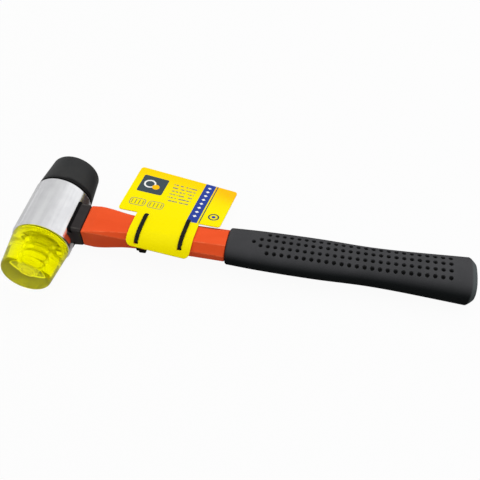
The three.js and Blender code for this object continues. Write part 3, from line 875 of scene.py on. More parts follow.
@dataclass(frozen=True)
class Turned:
    """A turned shape about the head's axis.

    Attributes:
        sides: Points in each ring.
        thread: The screw thread that some rows carry.
        inner: The coarser thread that the wall of a cored hole carries.
        teeth: Count of radial teeth that some rows carry.
    """

    sides: int = 128
    thread: ScrewThread = ScrewThread()
    inner: ScrewThread = ScrewThread(pitch=5.4, height=0.9)
    teeth: int = 72

    def skin(self, runs: Profile, tooth_depth: float = 0.0) -> Skin:
        """Turns a profile about Y: radius r and height y go to (r sin a, y, r cos a).

        Rows of a thread grow in radius by the thread's swell, in full or faded in from the run's start.
        Rows of teeth move along Y, and rows of flutes inwards, by a cosine round the axis.

        Args:
            runs: Stretches of profile from axis to axis, each with what it carries.
            tooth_depth: How far the teeth and flutes stand in from their rows.

        Returns:
            A closed skin.
        """
        rows = np.concatenate([run for run, _ in runs])
        kinds = np.concatenate([[kind] * len(run) for run, kind in runs])
        keep = np.concatenate([[True], np.abs(np.diff(rows, axis=0)).max(axis=1) > 1e-6])
        rows, kinds = rows[keep], kinds[keep]
        angle = np.linspace(0, TURN, self.sides, endpoint=False)[None, :]
        radius, y = rows[:, :1], rows[:, 1:]
        full = (kinds == Row.THREAD).astype(float)
        faded = kinds == Row.FADING_THREAD
        if faded.any():
            reach = y[faded, 0]
            full[faded] = smooth(0.0, self.thread.fade, np.abs(reach - reach[0]))
        radius = radius + full[:, None] * self.thread.swell(angle, y)
        radius = radius + (kinds == Row.INNER_THREAD)[:, None] * self.inner.swell(angle, y)
        wave = tooth_depth * (0.5 + 0.5 * np.cos(self.teeth * angle))
        radius = radius - (kinds == Row.FLUTES)[:, None] * wave
        teeth = (kinds == Row.TEETH)[:, None] * wave
        height = y + teeth + 0 * angle
        return capped(np.stack([radius * np.sin(angle), height, radius * np.cos(angle)], axis=-1))


@dataclass(frozen=True)
class Head:
    """Chromed head with a threaded socket in each end."""

    radius: float = 18.25
    half: float = 19.4
    rim: float = 1.2
    socket_floor: float = 7.55
    mouth: float = 10.8
    mouth_depth: float = 0.5
    floor_edge: Pair = (0.4, 0.3)
    turned: Turned = Turned(sides=160)

    def build(self, lie: Lie) -> None:
        """Turns the head's profile from one socket's floor, over the rims, to the other's."""
        wall = self.turned.thread.root + self.turned.thread.clearance
        mouth, (inward, upward) = self.half - self.mouth_depth, self.floor_edge
        runs = [
            (line((0, self.socket_floor), (wall - inward, self.socket_floor), 3), Row.PLAIN),
            (line((wall, self.socket_floor + upward), (wall, mouth), 40), Row.THREAD),
            (line((self.mouth, self.half), (self.radius - self.rim, self.half), 3), Row.PLAIN),
            (arc(self.radius - self.rim, self.half - self.rim, self.rim, 90, 0, 10), Row.PLAIN),
            (line((self.radius, self.half - 2 * self.rim), (self.radius, 0), 6), Row.PLAIN),
        ]
        mirrored = [(run[::-1] * [1, -1], kind) for run, kind in reversed(runs)]
        skin = self.turned.skin(runs + mirrored)
        make_piece([skin], lie, Fitting("head_body", Body.HANDLE, "head_chrome"), CHROME)


@dataclass(frozen=True)
class Face:
    """Sizes that both striking faces share, for a face along +Y.

    Attributes:
        base: Height of its seat over the head's centre.
        base_radius: Radius at the seat.
        strike_radius: Radius at the striking end, before its edge is rounded.
        length: Length from seat to striking end.
        edge: Radius of the striking edge.
        stud_tip: Height of the stud's tip over the head's centre.
        band: Height of the band above the seat's edge, and the height at which the plain cone starts.
    """

    base_radius: float
    strike_radius: float
    length: float
    base: float = 20.1
    edge: float = 2.5
    stud_tip: float = 8.15
    band: Pair = (1.0, 1.3)

    @property
    def strike(self) -> float:
        """Height of the striking end."""
        return self.base + self.length

    def outside(self, lip: float, carried: Row = Row.PLAIN) -> Profile:
        """Profile from the seat's edge up the cone, round the striking edge and in to the axis.

        Args:
            lip: Rounding of the seat's edge.
            carried: What the narrow band above that edge carries.

        Returns:
            Stretches of profile.
        """
        slope = math.atan2(self.base_radius - self.strike_radius, self.length)
        side = self.strike_radius + self.edge * math.tan(slope)
        centre = side - self.edge / math.cos(slope)
        foot, low, high = (
            (self.base_radius - (lip + up) * math.tan(slope), self.base + lip + up) for up in (0.0, *self.band))
        round_edge = arc(centre, self.strike - self.edge, self.edge, math.degrees(slope), 90, 12)
        return [
            (arc(self.base_radius - lip, self.base + lip, lip, -90, -20, 4), Row.PLAIN),
            (line(foot, low, 3), carried),
            (line(high, tuple(round_edge[0]), 12), Row.PLAIN),
            (round_edge, Row.PLAIN),
            (line((centre * 0.96, self.strike), (0, self.strike), 5), Row.PLAIN),
        ]


@dataclass(frozen=True)
class PlasticEnd:
    """Clear yellow face with its moulded stud, and the washer behind it."""

    face: Face = Face(17.5, 15.0, 24.2)
    coring: float = 5.5
    coring_mouth: float = 6.0
    coring_floor: float = 7.0
    coring_round: float = 1.2
    ring: tuple[float, ...] = (2.6, 3.0, 3.3, 3.7)
    ring_depth: float = 0.6
    tooth_depth: float = 0.4
    turned: Turned = Turned(sides=360, teeth=60)

    def build(self, lie: Lie) -> None:
        """Turns the face from the floor of its cored hole, down the hole, up the stud and over the outside.

        The seat carries shallow radial teeth, which show through the plastic.
        """
        face, root, ring = self.face, self.turned.thread.root, self.ring
        deep, soft, tip = face.strike - self.coring_floor, self.coring_round, face.stud_tip
        runs = [
            (line((0, deep), (ring[0], deep), 2), Row.PLAIN),
            (line((ring[1], deep + self.ring_depth), (ring[2], deep + self.ring_depth), 1), Row.PLAIN),
            (line((ring[3], deep), (self.coring - soft, deep), 1), Row.PLAIN),
            (arc(self.coring - soft, deep - soft, soft, 90, 0, 8), Row.PLAIN),
            (line((self.coring, deep - soft - 0.4), (self.coring_mouth, tip + 0.4), 90), Row.INNER_THREAD),
            (line((self.coring_mouth + 1.2, tip), (root - 0.5, tip), 2), Row.PLAIN),
            (line((root, tip + 0.5), (root, face.base - 0.4), 44), Row.FADING_THREAD),
            (line((root + 1.4, face.base), (root + 1.9, face.base), 1), Row.PLAIN),
            (line((root + 2.3, face.base), (face.base_radius - 2.2, face.base), 3), Row.TEETH),
            (line((face.base_radius - 1.8, face.base), (face.base_radius - 0.5, face.base), 1), Row.PLAIN),
            *face.outside(0.4),
        ]
        half_turn = np.diag([-1.0, -1.0, 1.0])
        skin = self.turned.skin(runs, self.tooth_depth).moved(half_turn, np.zeros(3))
        make_piece([skin], lie, Fitting("plastic_face", Body.PLASTIC_END, "yellow_plastic"), YELLOW)
        Washer().build(lie, End.PLASTIC)


@dataclass(frozen=True)
class RubberEnd:
    """Black rubber face, the steel stud that is moulded into it, and the washer behind it."""

    face: Face = Face(17.9, 15.5, 23.5)
    neck: float = 7.5
    flange: float = 12.5
    flange_depth: float = 5.0
    flange_thickness: float = 4.0
    gap: float = 0.3
    tooth_depth: float = 0.25
    foot: float = 3.2
    thin_foot: float = 0.4
    turned: Turned = Turned(sides=480, teeth=96)

    def build(self, lie: Lie) -> None:
        """Turns the rubber from the bottom of its neck hole over the outside, and the stud inside it."""
        face, hole = self.face, self.neck + self.gap
        pocket = face.base + self.flange_depth - self.gap
        rubber = [
            (line((0, pocket), (hole, pocket), 2), Row.PLAIN),
            (line((hole, pocket - 0.2), (hole, face.base + 0.3), 3), Row.PLAIN),
            (line((hole + 0.3, face.base), (face.base_radius - 1.0, face.base), 3), Row.PLAIN),
            *face.outside(0.6, Row.FLUTES),
        ]
        skin = self.turned.skin(rubber, self.tooth_depth)
        # Painted shade: a near-black band at the seat, thin away from the handle and widest towards it.
        across, along, up = skin.points.T
        toward_handle = smooth(-0.2, 0.8, across / np.hypot(across, up).clip(hole))
        foot = self.foot * (self.thin_foot + (1 - self.thin_foot) * toward_handle)
        skin.marks["foot"] = 1 - smooth(face.base + 0.7 * foot, face.base + foot, along)
        make_piece([skin], lie, Fitting("rubber_face", Body.RUBBER_END, "face_rubber"), FACE_RUBBER)
        root, low = self.turned.thread.root, face.base + self.flange_depth
        high = low + self.flange_thickness
        stud = [
            (line((0, face.stud_tip), (root - 0.6, face.stud_tip), 2), Row.PLAIN),
            (line((root, face.stud_tip + 0.5), (root, face.base - 0.6), 44), Row.FADING_THREAD),
            (line((root, face.base - 0.1), (self.neck, face.base - 0.1), 1), Row.PLAIN),
            (line((self.neck, face.base), (self.neck, low), 2), Row.PLAIN),
            (line((self.flange, low), (self.flange, high), 1), Row.PLAIN),
            (line((self.flange - 0.2, high), (0, high), 2), Row.PLAIN),
        ]
        fitting = Fitting("rubber_face_stud", Body.RUBBER_END, "stud_steel")
        make_piece([Turned(sides=96).skin(stud)], lie, fitting, STEEL)
        Washer().build(lie, End.RUBBER)


@dataclass(frozen=True)
class Washer:
    """Flat washer with slightly rounded edges, seated on the head."""

    bore: float = 10.4
    radius: float = 16.5
    low: float = 19.5
    thickness: float = 0.5
    edge: float = 0.12
    sides: int = 128

    def build(self, lie: Lie, end: End) -> None:
        """Carries a small rounded rectangle round the axis: (r sin a, y, r cos a)."""
        high = self.low + self.thickness
        inner, outer, low = self.bore, self.radius, self.low
        corners = np.array([[[inner, low], [outer, low], [outer, high], [inner, high]]])
        section = rounded(corners, self.edge, 3)[0]
        angle = np.linspace(0, TURN, self.sides, endpoint=False)[:, None]
        radius, y = section[None, :, 0], section[None, :, 1] * end.value
        skin = hooped(np.stack([radius * np.sin(angle), y + 0 * angle, radius * np.cos(angle)], axis=-1))
        fittings = {
            End.PLASTIC: Fitting("plastic_face_washer", Body.PLASTIC_WASHER, "washer_black"),
            End.RUBBER: Fitting("rubber_face_washer", Body.RUBBER_WASHER, "washer_black"),
        }
        make_piece([skin], lie, fittings[end], WASHER)


# Handle


def eight_sided(sizes: np.ndarray, fillet: float) -> np.ndarray:
    """Rounded sections with a flat top and underside, four chamfers and two upright sides.

    Args:
        sizes: Rows of half top width, half thickness, half width and half side height.
        fillet: Length of the rounding along the sides.

    Returns:
        Points across the handle, as rows, points and (Y, Z).
    """
    top, thick, wide, side = sizes.T
    half = np.stack([np.stack([wide, -side], -1), np.stack([wide, side], -1),
                     np.stack([top, thick], -1), np.stack([-top, thick], -1)], axis=1)
    return rounded(np.concatenate([half, -half], axis=1), fillet)


def ridge_marks(rows: int, columns: int) -> np.ndarray:
    """Values of 1 in the middle of each rounded corner and 0 on the flats."""
    corner = np.array([0.0, 0.25, 0.8, 1.0, 0.8, 0.25, 0.0])
    return np.tile(corner, (rows, columns // len(corner)))


@dataclass(frozen=True)
class Collar:
    """Black collar, saddled on the head, with a thin sheet round its edge painted near-black as shade."""

    head: Head = Head()
    gap: float = 0.3
    end: float = 23.05
    at_head: tuple[float, float, float, float] = (9.8, 7.9, 11.3, 6.9)
    at_end: tuple[float, float, float, float] = (9.7, 7.4, 11.1, 6.4)
    edge: float = 0.7
    fillet: float = 0.5
    foot: float = 1.5
    foot_rise: float = 0.5
    foot_inside: float = 0.6
    foot_edge: float = 0.12
    foot_gap: float = 0.05
    foot_fillet: float = 1.2

    def build(self, lie: Lie) -> None:
        """Carries the eight-sided section from the saddle to the collar's end.

        Its near edge lies on the head: X is the root of the saddle's radius squared less Z squared. Both ends
        are drawn in along a quarter circle and then shrink to a point.
        """
        drawn, run = quarter(self.edge, 6)
        inset = np.concatenate([drawn / 2, np.zeros(4), drawn[::-1]])
        share = np.concatenate([np.zeros(6), np.linspace(0.15, 0.85, 4), np.ones(6)])
        step = np.concatenate([run, np.zeros(4), -run[::-1]])
        sizes = np.outer(1 - share, self.at_head) + np.outer(share, self.at_end) - inset[:, None]
        outline = closed_ends(eight_sided(sizes, self.fillet), (0.0, 0.35, 0.7))
        share = np.concatenate([np.zeros(3), share, np.ones(3)])[:, None]
        step = np.concatenate([np.zeros(3), step, np.zeros(3)])[:, None]
        y, z = outline[..., 0], outline[..., 1]
        saddle = np.sqrt((self.head.radius + self.gap) ** 2 - z**2)
        x = saddle * (1 - share) + self.end * share + step
        marks = ridge_marks(*x.shape)
        skin = capped(np.stack([x, y, z], axis=-1), ridge=marks, sunk=0 * marks)
        make_piece([skin, self._gap_shade_sheet()], lie, Fitting("neck_collar", Body.HANDLE, "collar_black"), COLLAR)

    def _gap_shade_sheet(self) -> Skin:
        """Thin sheet that the collar spreads over the head round its edge, painted near-black as the shade of
        the gap there.

        A flat rectangle goes round the collar's section, and lies on the head as the saddle does.
        """
        grow = np.array([-self.foot_inside, self.foot, self.foot, -self.foot_inside])
        rise = np.array([0.0, 0.0, self.foot_edge, self.foot_rise])
        spread = grow[:, None] * np.array([0.6, 1.0, 0.6, 1.0])
        outline = eight_sided(np.array(self.at_head) + spread, self.foot_fillet)
        y, z = outline[..., 0] - 0.5 * np.maximum(grow, 0.0)[:, None], outline[..., 1]
        x = np.sqrt((self.head.radius + self.foot_gap + rise[:, None]) ** 2 - z**2)
        flat = np.zeros(x.shape)
        # A shade mark of 1 paints the whole sheet near-black as shade.
        return hooped(np.stack([x, y, z], axis=-1), ridge=flat, sunk=flat + 1)


@dataclass(frozen=True)
class Jacket:
    """Orange jacket in front of the grip, from its neck over its flare to the shaft.

    Attributes:
        start: Place of its neck along the handle.
        length: Its length up to the grip.
        stations: Distances of its sections from the neck.
        sections: Half top width, half thickness, half width and half side height at each.
    """

    start: float = 23.35
    length: float = 89.0
    stations: tuple[float, ...] = (0.0, 6.5, 28.0, 51.0, 89.0)
    sections: tuple[tuple[float, ...], ...] = (
        (10.2, 6.4, 10.9, 6.2),
        (10.2, 7.5, 11.2, 6.6),
        (7.2, 7.1, 10.0, 3.8),
        (6.3, 7.0, 10.1, 2.8),
        (5.6, 6.9, 10.8, 2.1),
    )
    edge: float = 0.5
    fillet: float = 0.45

    def sizes(self, along: np.ndarray) -> np.ndarray:
        """The four sizes at distances from the neck, each a cubic run through its stations."""
        table = np.array(self.sections)
        stations = np.array(self.stations)
        return np.stack([cubic_run(stations, table[:, k], along) for k in range(4)], axis=1)

    def build(self, lie: Lie) -> None:
        """Carries the eight-sided section along the handle, drawn in along a quarter circle at its ends."""
        drawn, run = quarter(self.edge, 5)
        flare = self.stations[1]
        middle = np.concatenate([np.linspace(1.2, flare, 5)[:-1], np.linspace(flare, self.length - 1.2, 54)])
        along = np.concatenate([run, middle, self.length - run[::-1]])
        inset = np.concatenate([drawn, np.zeros(len(middle)), drawn[::-1]])
        straight = np.minimum(along / flare, 1.0)[:, None]
        near, far = self.sizes(np.array([0.0])), self.sizes(np.array([flare]))
        sizes = np.where(straight < 1.0, near + (far - near) * straight, self.sizes(along)) - inset[:, None]
        outline = closed_ends(eight_sided(sizes, self.fillet), (0.0, 0.5))
        x = np.concatenate([[along[0]] * 2, along, [along[-1]] * 2])[:, None] + self.start
        x = np.broadcast_to(x, outline.shape[:2])
        skin = capped(np.concatenate([x[..., None], outline], axis=-1), ridge=ridge_marks(*x.shape))
        make_piece([skin], lie, Fitting("handle_jacket", Body.HANDLE, "jacket_orange"), ORANGE)


@dataclass(frozen=True)
class Grip:
    """Soft grip: an oval sleeve with rows of round holes on its top and underside."""

    start: float = 112.65
    length: float = 145.5
    stations: tuple[float, ...] = (0.0, 18.0, 53.0, 88.0, 145.5)
    half_widths: tuple[float, ...] = (12.2, 13.1, 13.4, 12.3, 14.7)
    half_thicknesses: tuple[float, ...] = (7.8, 8.0, 8.3, 8.8, 11.3)
    power: float = 2.4
    lip: float = 1.4
    butt: float = 4.0
    bevel: float = 3.3
    bevel_power: float = 1.3
    hole_radius: float = 1.2
    hole_depth: float = 1.25
    hole_floor: float = 0.84
    pitch: float = 4.4
    columns: int = 27
    first: float = 16.0
    inner_row: float = 2.4
    outer_row: float = 7.0
    flat_reach: float = 8.7

    def _along(self) -> tuple[np.ndarray, np.ndarray]:
        """Distances of the rings from the lip, and how far each is drawn in.

        Rings lie close together where there are holes. The lip is drawn in along a quarter
        circle, and the butt along a slightly hollow bevel.
        """
        drawn, run = quarter(self.lip, 9)
        last = self.first + (self.columns - 1) * self.pitch
        holes = np.arange(self.first - self.pitch / 2, last + self.pitch / 2, self.pitch / 15)
        front = np.linspace(self.lip + 1.2, holes[0] - 0.8, 8)
        rear = np.linspace(holes[-1] + 0.8, self.length - self.butt - 0.8, 6)
        middle = np.concatenate([front, holes, rear])
        bevel = np.linspace(0, 1, 12)
        along = np.concatenate([run, middle, self.length - self.butt * (1 - bevel)])
        inset = np.concatenate([drawn, 0 * middle, self.bevel * bevel**self.bevel_power])
        return along, inset

    def _section(self, wide: np.ndarray, thick: np.ndarray) -> np.ndarray:
        """Oval sections with even steps across the top and underside.

        Z over half thickness is the root of order p of 1 less (Y over half width) to the power p. The sides
        go round by angle instead: Y and Z are the cosine and sine to the power 2 / p.
        """
        across = np.linspace(-self.flat_reach, self.flat_reach, 60)[None, :]
        level = (1 - np.abs(across / wide) ** self.power) ** (1 / self.power)
        top = np.stack([across + 0 * wide, thick * level], -1)
        limit = np.arccos((self.flat_reach / wide) ** (self.power / 2))
        angle = limit * np.linspace(1, -1, 26)[None, 1:-1]
        power = 2 / self.power
        side = np.stack([wide * bulged(np.cos(angle), power), thick * bulged(np.sin(angle), power)], -1)
        return np.concatenate([top, side, -top, -side], axis=1)

    def _holes(self, along: np.ndarray, across: np.ndarray) -> np.ndarray:
        """Depth of the holes, from 0 to 1, by the distance to the nearest hole's middle.

        The first column has one hole, the second has two, and each later one has four.
        """
        column = np.clip(np.round((along - self.first) / self.pitch), 0, self.columns - 1)
        run = along - self.first - column * self.pitch
        inner = np.abs(np.abs(across) - self.inner_row)
        outer = np.abs(np.abs(across) - self.outer_row)
        rise = np.where(column == 0, np.abs(across), np.where(column == 1, inner, np.minimum(inner, outer)))
        return 1 - smooth(self.hole_floor * self.hole_radius, self.hole_radius, np.hypot(run, rise))

    def build(self, lie: Lie) -> None:
        """Carries the oval section along the handle and sinks the holes straight into top and underside."""
        along, inset = self._along()
        stations = np.array(self.stations)
        wide = cubic_run(stations, np.array(self.half_widths), along) - inset
        thick = cubic_run(stations, np.array(self.half_thicknesses), along) - inset
        outline = self._section(wide[:, None], thick[:, None])
        y, z = outline[..., 0].copy(), outline[..., 1].copy()
        level = np.abs(y) <= self.flat_reach + 1e-6
        # The holes' depth is also kept as a mark, which paints them near-black as shade.
        depth = self._holes(along[:, None] + 0 * y, y) * level
        z -= np.sign(z) * depth * self.hole_depth
        grid = np.stack([along[:, None] + self.start + 0 * y, y, z], axis=-1)
        shrink = np.array([0.0, 0.4, 0.75])[:, None, None] * [[[0, 1, 1]]] + [[[1, 0, 0]]]
        grid = np.concatenate([grid[:1] * shrink, grid, grid[-1:] * shrink[::-1]])
        depth = np.pad(depth, ((3, 3), (0, 0)))
        # Painted light: the butt mark paints a paler band on the butt's bevel, where it faces the light.
        drawn = inset / self.bevel * (along > self.length / 2)
        edge = 0.85 * smooth(0.0, 0.3, drawn) * (1 - 0.75 * smooth(0.9, 1.0, drawn))
        edge = np.broadcast_to(np.pad(edge, (3, 3), mode="edge")[:, None], depth.shape)
        # Painted light: the crown mark paints the top and underside lighter than the sides, which are painted
        # darker as shade.
        crown = smooth(0.25, 0.95, np.abs(outline[..., 1]) / thick[:, None])
        skin = capped(grid, hole=depth, butt=edge, crown=np.pad(crown, ((3, 3), (0, 0)), mode="edge"))
        make_piece([skin], lie, Fitting("grip_sleeve", Body.HANDLE, "grip_rubber"), GRIP_RUBBER, 50.0)


# Card and ties


@dataclass(frozen=True)
class Card:
    """Printed card: a wide panel behind the handle and a narrower flap bent over it.

    Lengths are in the card's own flat directions: u along the handle and v across it, turned by yaw.
    """

    jacket: Jacket = Jacket()
    along: float = 49.7
    yaw: float = math.radians(-3.7)
    thickness: float = 0.6
    gap: float = 0.3
    panel: Pair = (65.9, 42.8)
    panel_corner: float = 2.6
    flap_width: float = 40.0
    flap_rear: float = 8.3
    flap_front: float = 15.0
    flap_corner: float = 4.0
    bend_start: float = 2.0
    bend_radius: float = 18.0
    bend_angle: float = math.radians(42)
    flat_rear: float = 6.5
    droop: Pair = (math.radians(5.1), math.radians(16.1))
    tie_spacing: float = 26.8
    slot: Pair = (1.45, 0.6)
    net_along: Pair = (-34.0, 34.1)
    net_across: Pair = (-16.0, 52.1)
    net_step: float = 1.0
    hole_rear: float = 8.1
    hole_front: float = 11.7
    slot_off: float = 0.45
    slot_fillet: float = 0.5
    notch: float = 0.4
    ease: float = 1.2

    @property
    def place(self) -> float:
        """The card's middle along the handle."""
        return self.jacket.start + self.along

    @property
    def slant(self) -> float:
        """Run along the handle for each millimetre across it, of lines that follow the card's sides."""
        return -math.tan(self.yaw)

    def bend_drop(self, run: np.ndarray) -> np.ndarray:
        """Fall in front of the bend's start: an arc of the bend's radius, then straight on."""
        reach = self.bend_radius * math.sin(self.bend_angle)
        on_arc = np.clip(run, 0.0, reach)
        drop = self.bend_radius - np.sqrt(self.bend_radius**2 - on_arc**2)
        return drop + np.maximum(run - reach, 0.0) * math.tan(self.bend_angle)

    def base(self) -> float:
        """Height of the underside over the handle, where the bend just clears the jacket's ridge."""
        steps = math.ceil(self.flap_width / 8.0)
        spots = self.along + np.linspace(-self.flap_width / 2, self.flap_width / 2, steps + 1)
        sizes = self.jacket.sizes(spots)
        return self.gap + float((sizes[:, 1] + self.bend_drop(sizes[:, 0] - self.bend_start)).max())

    def height(self, x: np.ndarray, y: np.ndarray) -> np.ndarray:
        """Height of the underside: bent down in front, flat over the handle, drooping behind it.

        The droop's slope grows evenly along the handle, from the edge near the head to the one near the grip.
        """
        share = x / self.panel[0] + 0.5
        droop = self.droop[0] + (self.droop[1] - self.droop[0]) * share
        behind = y - self.flat_rear
        eased = 0.5 * (behind + np.sqrt(behind**2 + self.ease))
        return self.base() - self.bend_drop(-self.bend_start - y) - eased * np.tan(droop)

    def _outline(self) -> np.ndarray:
        """Outline in flat millimetres, with rounded outer corners."""
        wide, long = self.panel[0] / 2, self.flap_rear + self.panel[1]
        flap = self.flap_width / 2
        half = [(flap, -self.flap_front), (flap, self.flap_rear), (wide, self.flap_rear), (wide, long)]
        corners = np.array([half + [(-u, v) for u, v in reversed(half)]])
        sizes = [self.flap_corner, self.notch, self.panel_corner, self.panel_corner]
        return rounded(corners, np.array(sizes + sizes[::-1]), 9)[0]

    def slots(self) -> np.ndarray:
        """Middles of the ties' four slots, across the handle's own directions."""
        places = [-self.hole_front - self.slot_off, self.hole_rear + self.slot_off]
        x, y = np.meshgrid([-self.tie_spacing / 2, self.tie_spacing / 2], places)
        return np.stack([x + self.slant * y, y], axis=-1).reshape(-1, 2)

    def build(self, lie: Lie) -> None:
        """Fills the outline with a fine net, lifts it to the card's two faces and closes its edges.

        A point of the net goes to (X, Y, height) on the underside, and a card's thickness higher on the top.
        """
        cos, sin = math.cos(self.yaw), math.sin(self.yaw)
        turn = np.array([[cos, -sin], [sin, cos]])
        corners = np.array([[[-1, -1], [1, -1], [1, 1], [-1, 1]]]) * np.array(self.slot)
        rim = rounded(corners, self.slot_fillet)[0]
        loops = [self._outline() @ turn.T] + [middle + rim for middle in self.slots()]
        u, v = np.meshgrid(*(np.arange(*reach, self.net_step) for reach in (self.net_along, self.net_across)))
        net = np.stack([u, v], axis=-1).reshape(-1, 2) @ turn.T
        first = np.cumsum([0] + [len(loop) for loop in loops])
        edges = [(a + k, a + (k + 1) % n) for a, n in zip(first, map(len, loops)) for k in range(n)]
        spots = np.concatenate(loops + [net])
        flat, _, faces, *_ = delaunay_2d_cdt([tuple(p) for p in spots.tolist()], edges,
                                             [list(range(first[1]))], 1, 1e-5)
        flat, faces = np.array([tuple(p) for p in flat]), np.array(faces)
        middles = flat[faces].mean(axis=1)
        off = np.abs(middles[:, None] - self.slots()[None]) - np.array(self.slot)
        clear = off.max(axis=-1).min(axis=1) > 0
        skin = self._sheet(flat, faces[clear], turn)
        make_piece([skin], lie, Fitting("hang_card", Body.HANDLE, "card_yellow"), PRINT, 40.0)

    def _sheet(self, flat: np.ndarray, faces: np.ndarray, turn: np.ndarray) -> Skin:
        """Gives a flat net of triangles its height, its thickness and its edge faces.

        Args:
            flat: Points of the net across the handle's own directions.
            faces: Its triangles.
            turn: The card's turn on the handle.

        Returns:
            A closed skin, marked with flat places and with 1 on its printed side.
        """
        used, faces = np.unique(faces, return_inverse=True)
        flat, faces = flat[used], faces.reshape(-1, 3)
        count = len(flat)
        low = np.column_stack([flat[:, 0] + self.place, flat[:, 1], self.height(flat[:, 0], flat[:, 1])])
        points = np.concatenate([low, low + [0, 0, self.thickness]])
        sides = np.concatenate([faces[:, [0, 1]], faces[:, [1, 2]], faces[:, [2, 0]]])
        code = sides[:, 0] * count + sides[:, 1]
        single = sides[~np.isin(code, sides[:, 1] * count + sides[:, 0])]
        rim = np.column_stack([single[:, 1], single[:, 0], single[:, 0] + count, single[:, 1] + count])
        place = flat @ turn
        marks = np.concatenate([np.column_stack([place, np.full(count, side)]) for side in (0.0, 1.0)])
        return Skin(points, [faces[:, ::-1], faces + count, rim], {"flat": marks}).facing_out()


@dataclass(frozen=True)
class Tie:
    """Cable tie over the card, down through its holes and round the jacket, with its head underneath.

    Attributes:
        node: The solid that it stands for.
        side: Which of the two it is: -1 near the head, 1 near the grip.
        head_across: Place of its locking head across the handle.
    """

    node: str
    side: int
    head_across: float
    card: Card = Card()
    width: float = 2.5
    thickness: float = 0.9
    gap: float = 0.3
    head: Triple = (4.6, 4.4, 3.6)
    tail_half: Pair = (0.45, 0.5)
    tail_drop: float = 0.3
    bend: float = 0.9
    edge: float = 0.22
    slim: float = 0.6
    block_power: float = 0.3

    def _path(self, x: float) -> np.ndarray:
        """Middle line of the strap across the handle, as (Y, Z), with its corners rounded."""
        card = self.card
        top, thick, wide, side = card.jacket.sizes(np.array([card.along + x]))[0]
        off = self.gap + self.thickness / 2
        chamfer = off * math.tan(math.pi / 8)
        rise = card.thickness + off
        run = np.linspace(card.hole_rear - self.thickness, -card.hole_front + self.thickness, 11)
        over = np.column_stack([run, card.height(np.full(11, x), run) + rise])
        rear, front = card.height(np.array([x, x]), np.array([card.hole_rear, -card.hole_front]))
        edge = self.thickness / 2
        corners = np.concatenate([
            [[wide + off, -side - chamfer], [wide + off, side + chamfer]],
            [[card.hole_rear + edge, rear - self.gap], [card.hole_rear + edge, rear + rise - edge / 2]],
            over,
            [[-card.hole_front - edge, front + rise - edge / 2], [-wide - off, side + chamfer]],
            [[-wide - off, -side - chamfer], [-top - chamfer, -thick - off], [top + chamfer, -thick - off]],
        ])
        return rounded(corners[None], self.bend, 5)[0]

    def _strap(self, x: float) -> Skin:
        """Carries a rounded rectangle along the middle line.

        Its width lies along the handle, and its thickness along the line's normal, which is the line's
        direction turned by a quarter. The strap narrows where it dips into the card, as the root of the way.
        """
        path = self._path(x)
        way = np.roll(path, -1, axis=0) - np.roll(path, 1, axis=0)
        way /= np.linalg.norm(way, axis=1, keepdims=True)
        normal = np.stack([way[:, 1], -way[:, 0]], axis=1)
        half = np.array([self.width, self.thickness]) / 2
        section = rounded(np.array([[[-1, -1], [1, -1], [1, 1], [-1, 1]]]) * half, self.edge, 3)[0]
        across = path[:, None] + normal[:, None] * section[None, :, 1:]
        ends = np.array([self.card.hole_rear + half[1], -self.card.hole_front - half[1]])
        near = np.abs(path[:, :1] - ends).min(axis=1)
        near = np.where(path[:, 1] > 0.0, near, self.width)[:, None]
        slim = self.slim + (1 - self.slim) * np.sqrt(np.clip(near / (0.6 * self.width), 0.0, 1.0))
        along = x + section[None, :, 0] * slim + self.card.slant * across[..., 0]
        ridge = np.broadcast_to(np.abs(section[None, :, 1]) > 0.8 * half[1], along.shape).astype(float) * 0.3
        return hooped(np.stack([along + self.card.place, across[..., 0], across[..., 1]], axis=-1), ridge=ridge)

    def _block(self, middle: np.ndarray, half: np.ndarray) -> Skin:
        """Block with rounded edges: each coordinate is a product of cosines or sines to a small power."""
        polar = np.linspace(-math.pi / 2, math.pi / 2, 25)[:, None]
        round_angle = np.linspace(0, TURN, 48, endpoint=False)[None, :]
        turns = (np.cos(polar), np.sin(polar), np.cos(round_angle), np.sin(round_angle))
        waist, rise, right, back = (bulged(value, self.block_power) for value in turns)
        grid = np.stack([waist * right, waist * back, rise + 0 * round_angle], axis=-1) * half + middle
        return capped(grid, ridge=np.full(grid.shape[:2], 0.1))

    def build(self, lie: Lie) -> None:
        """Joins the strap with its locking head and the cut tail beside it."""
        x = self.side * self.card.tie_spacing / 2
        thick = self.card.jacket.sizes(np.array([self.card.along + x]))[0, 1]
        under = -thick - self.gap
        place = self.card.place + x + self.card.slant * self.head_across
        half = np.array(self.head) / 2
        block = self._block(np.array([place, self.head_across, under - half[2]]), half)
        tail = np.array([self.width / 2, *self.tail_half])
        drop = np.array([place, self.head_across, under - self.head[2] - self.tail_drop])
        skins = [self._strap(x), block, self._block(drop, tail)]
        make_piece(skins, lie, Fitting(self.node, Body.HANDLE, "tie_black"), NYLON)


# Stage


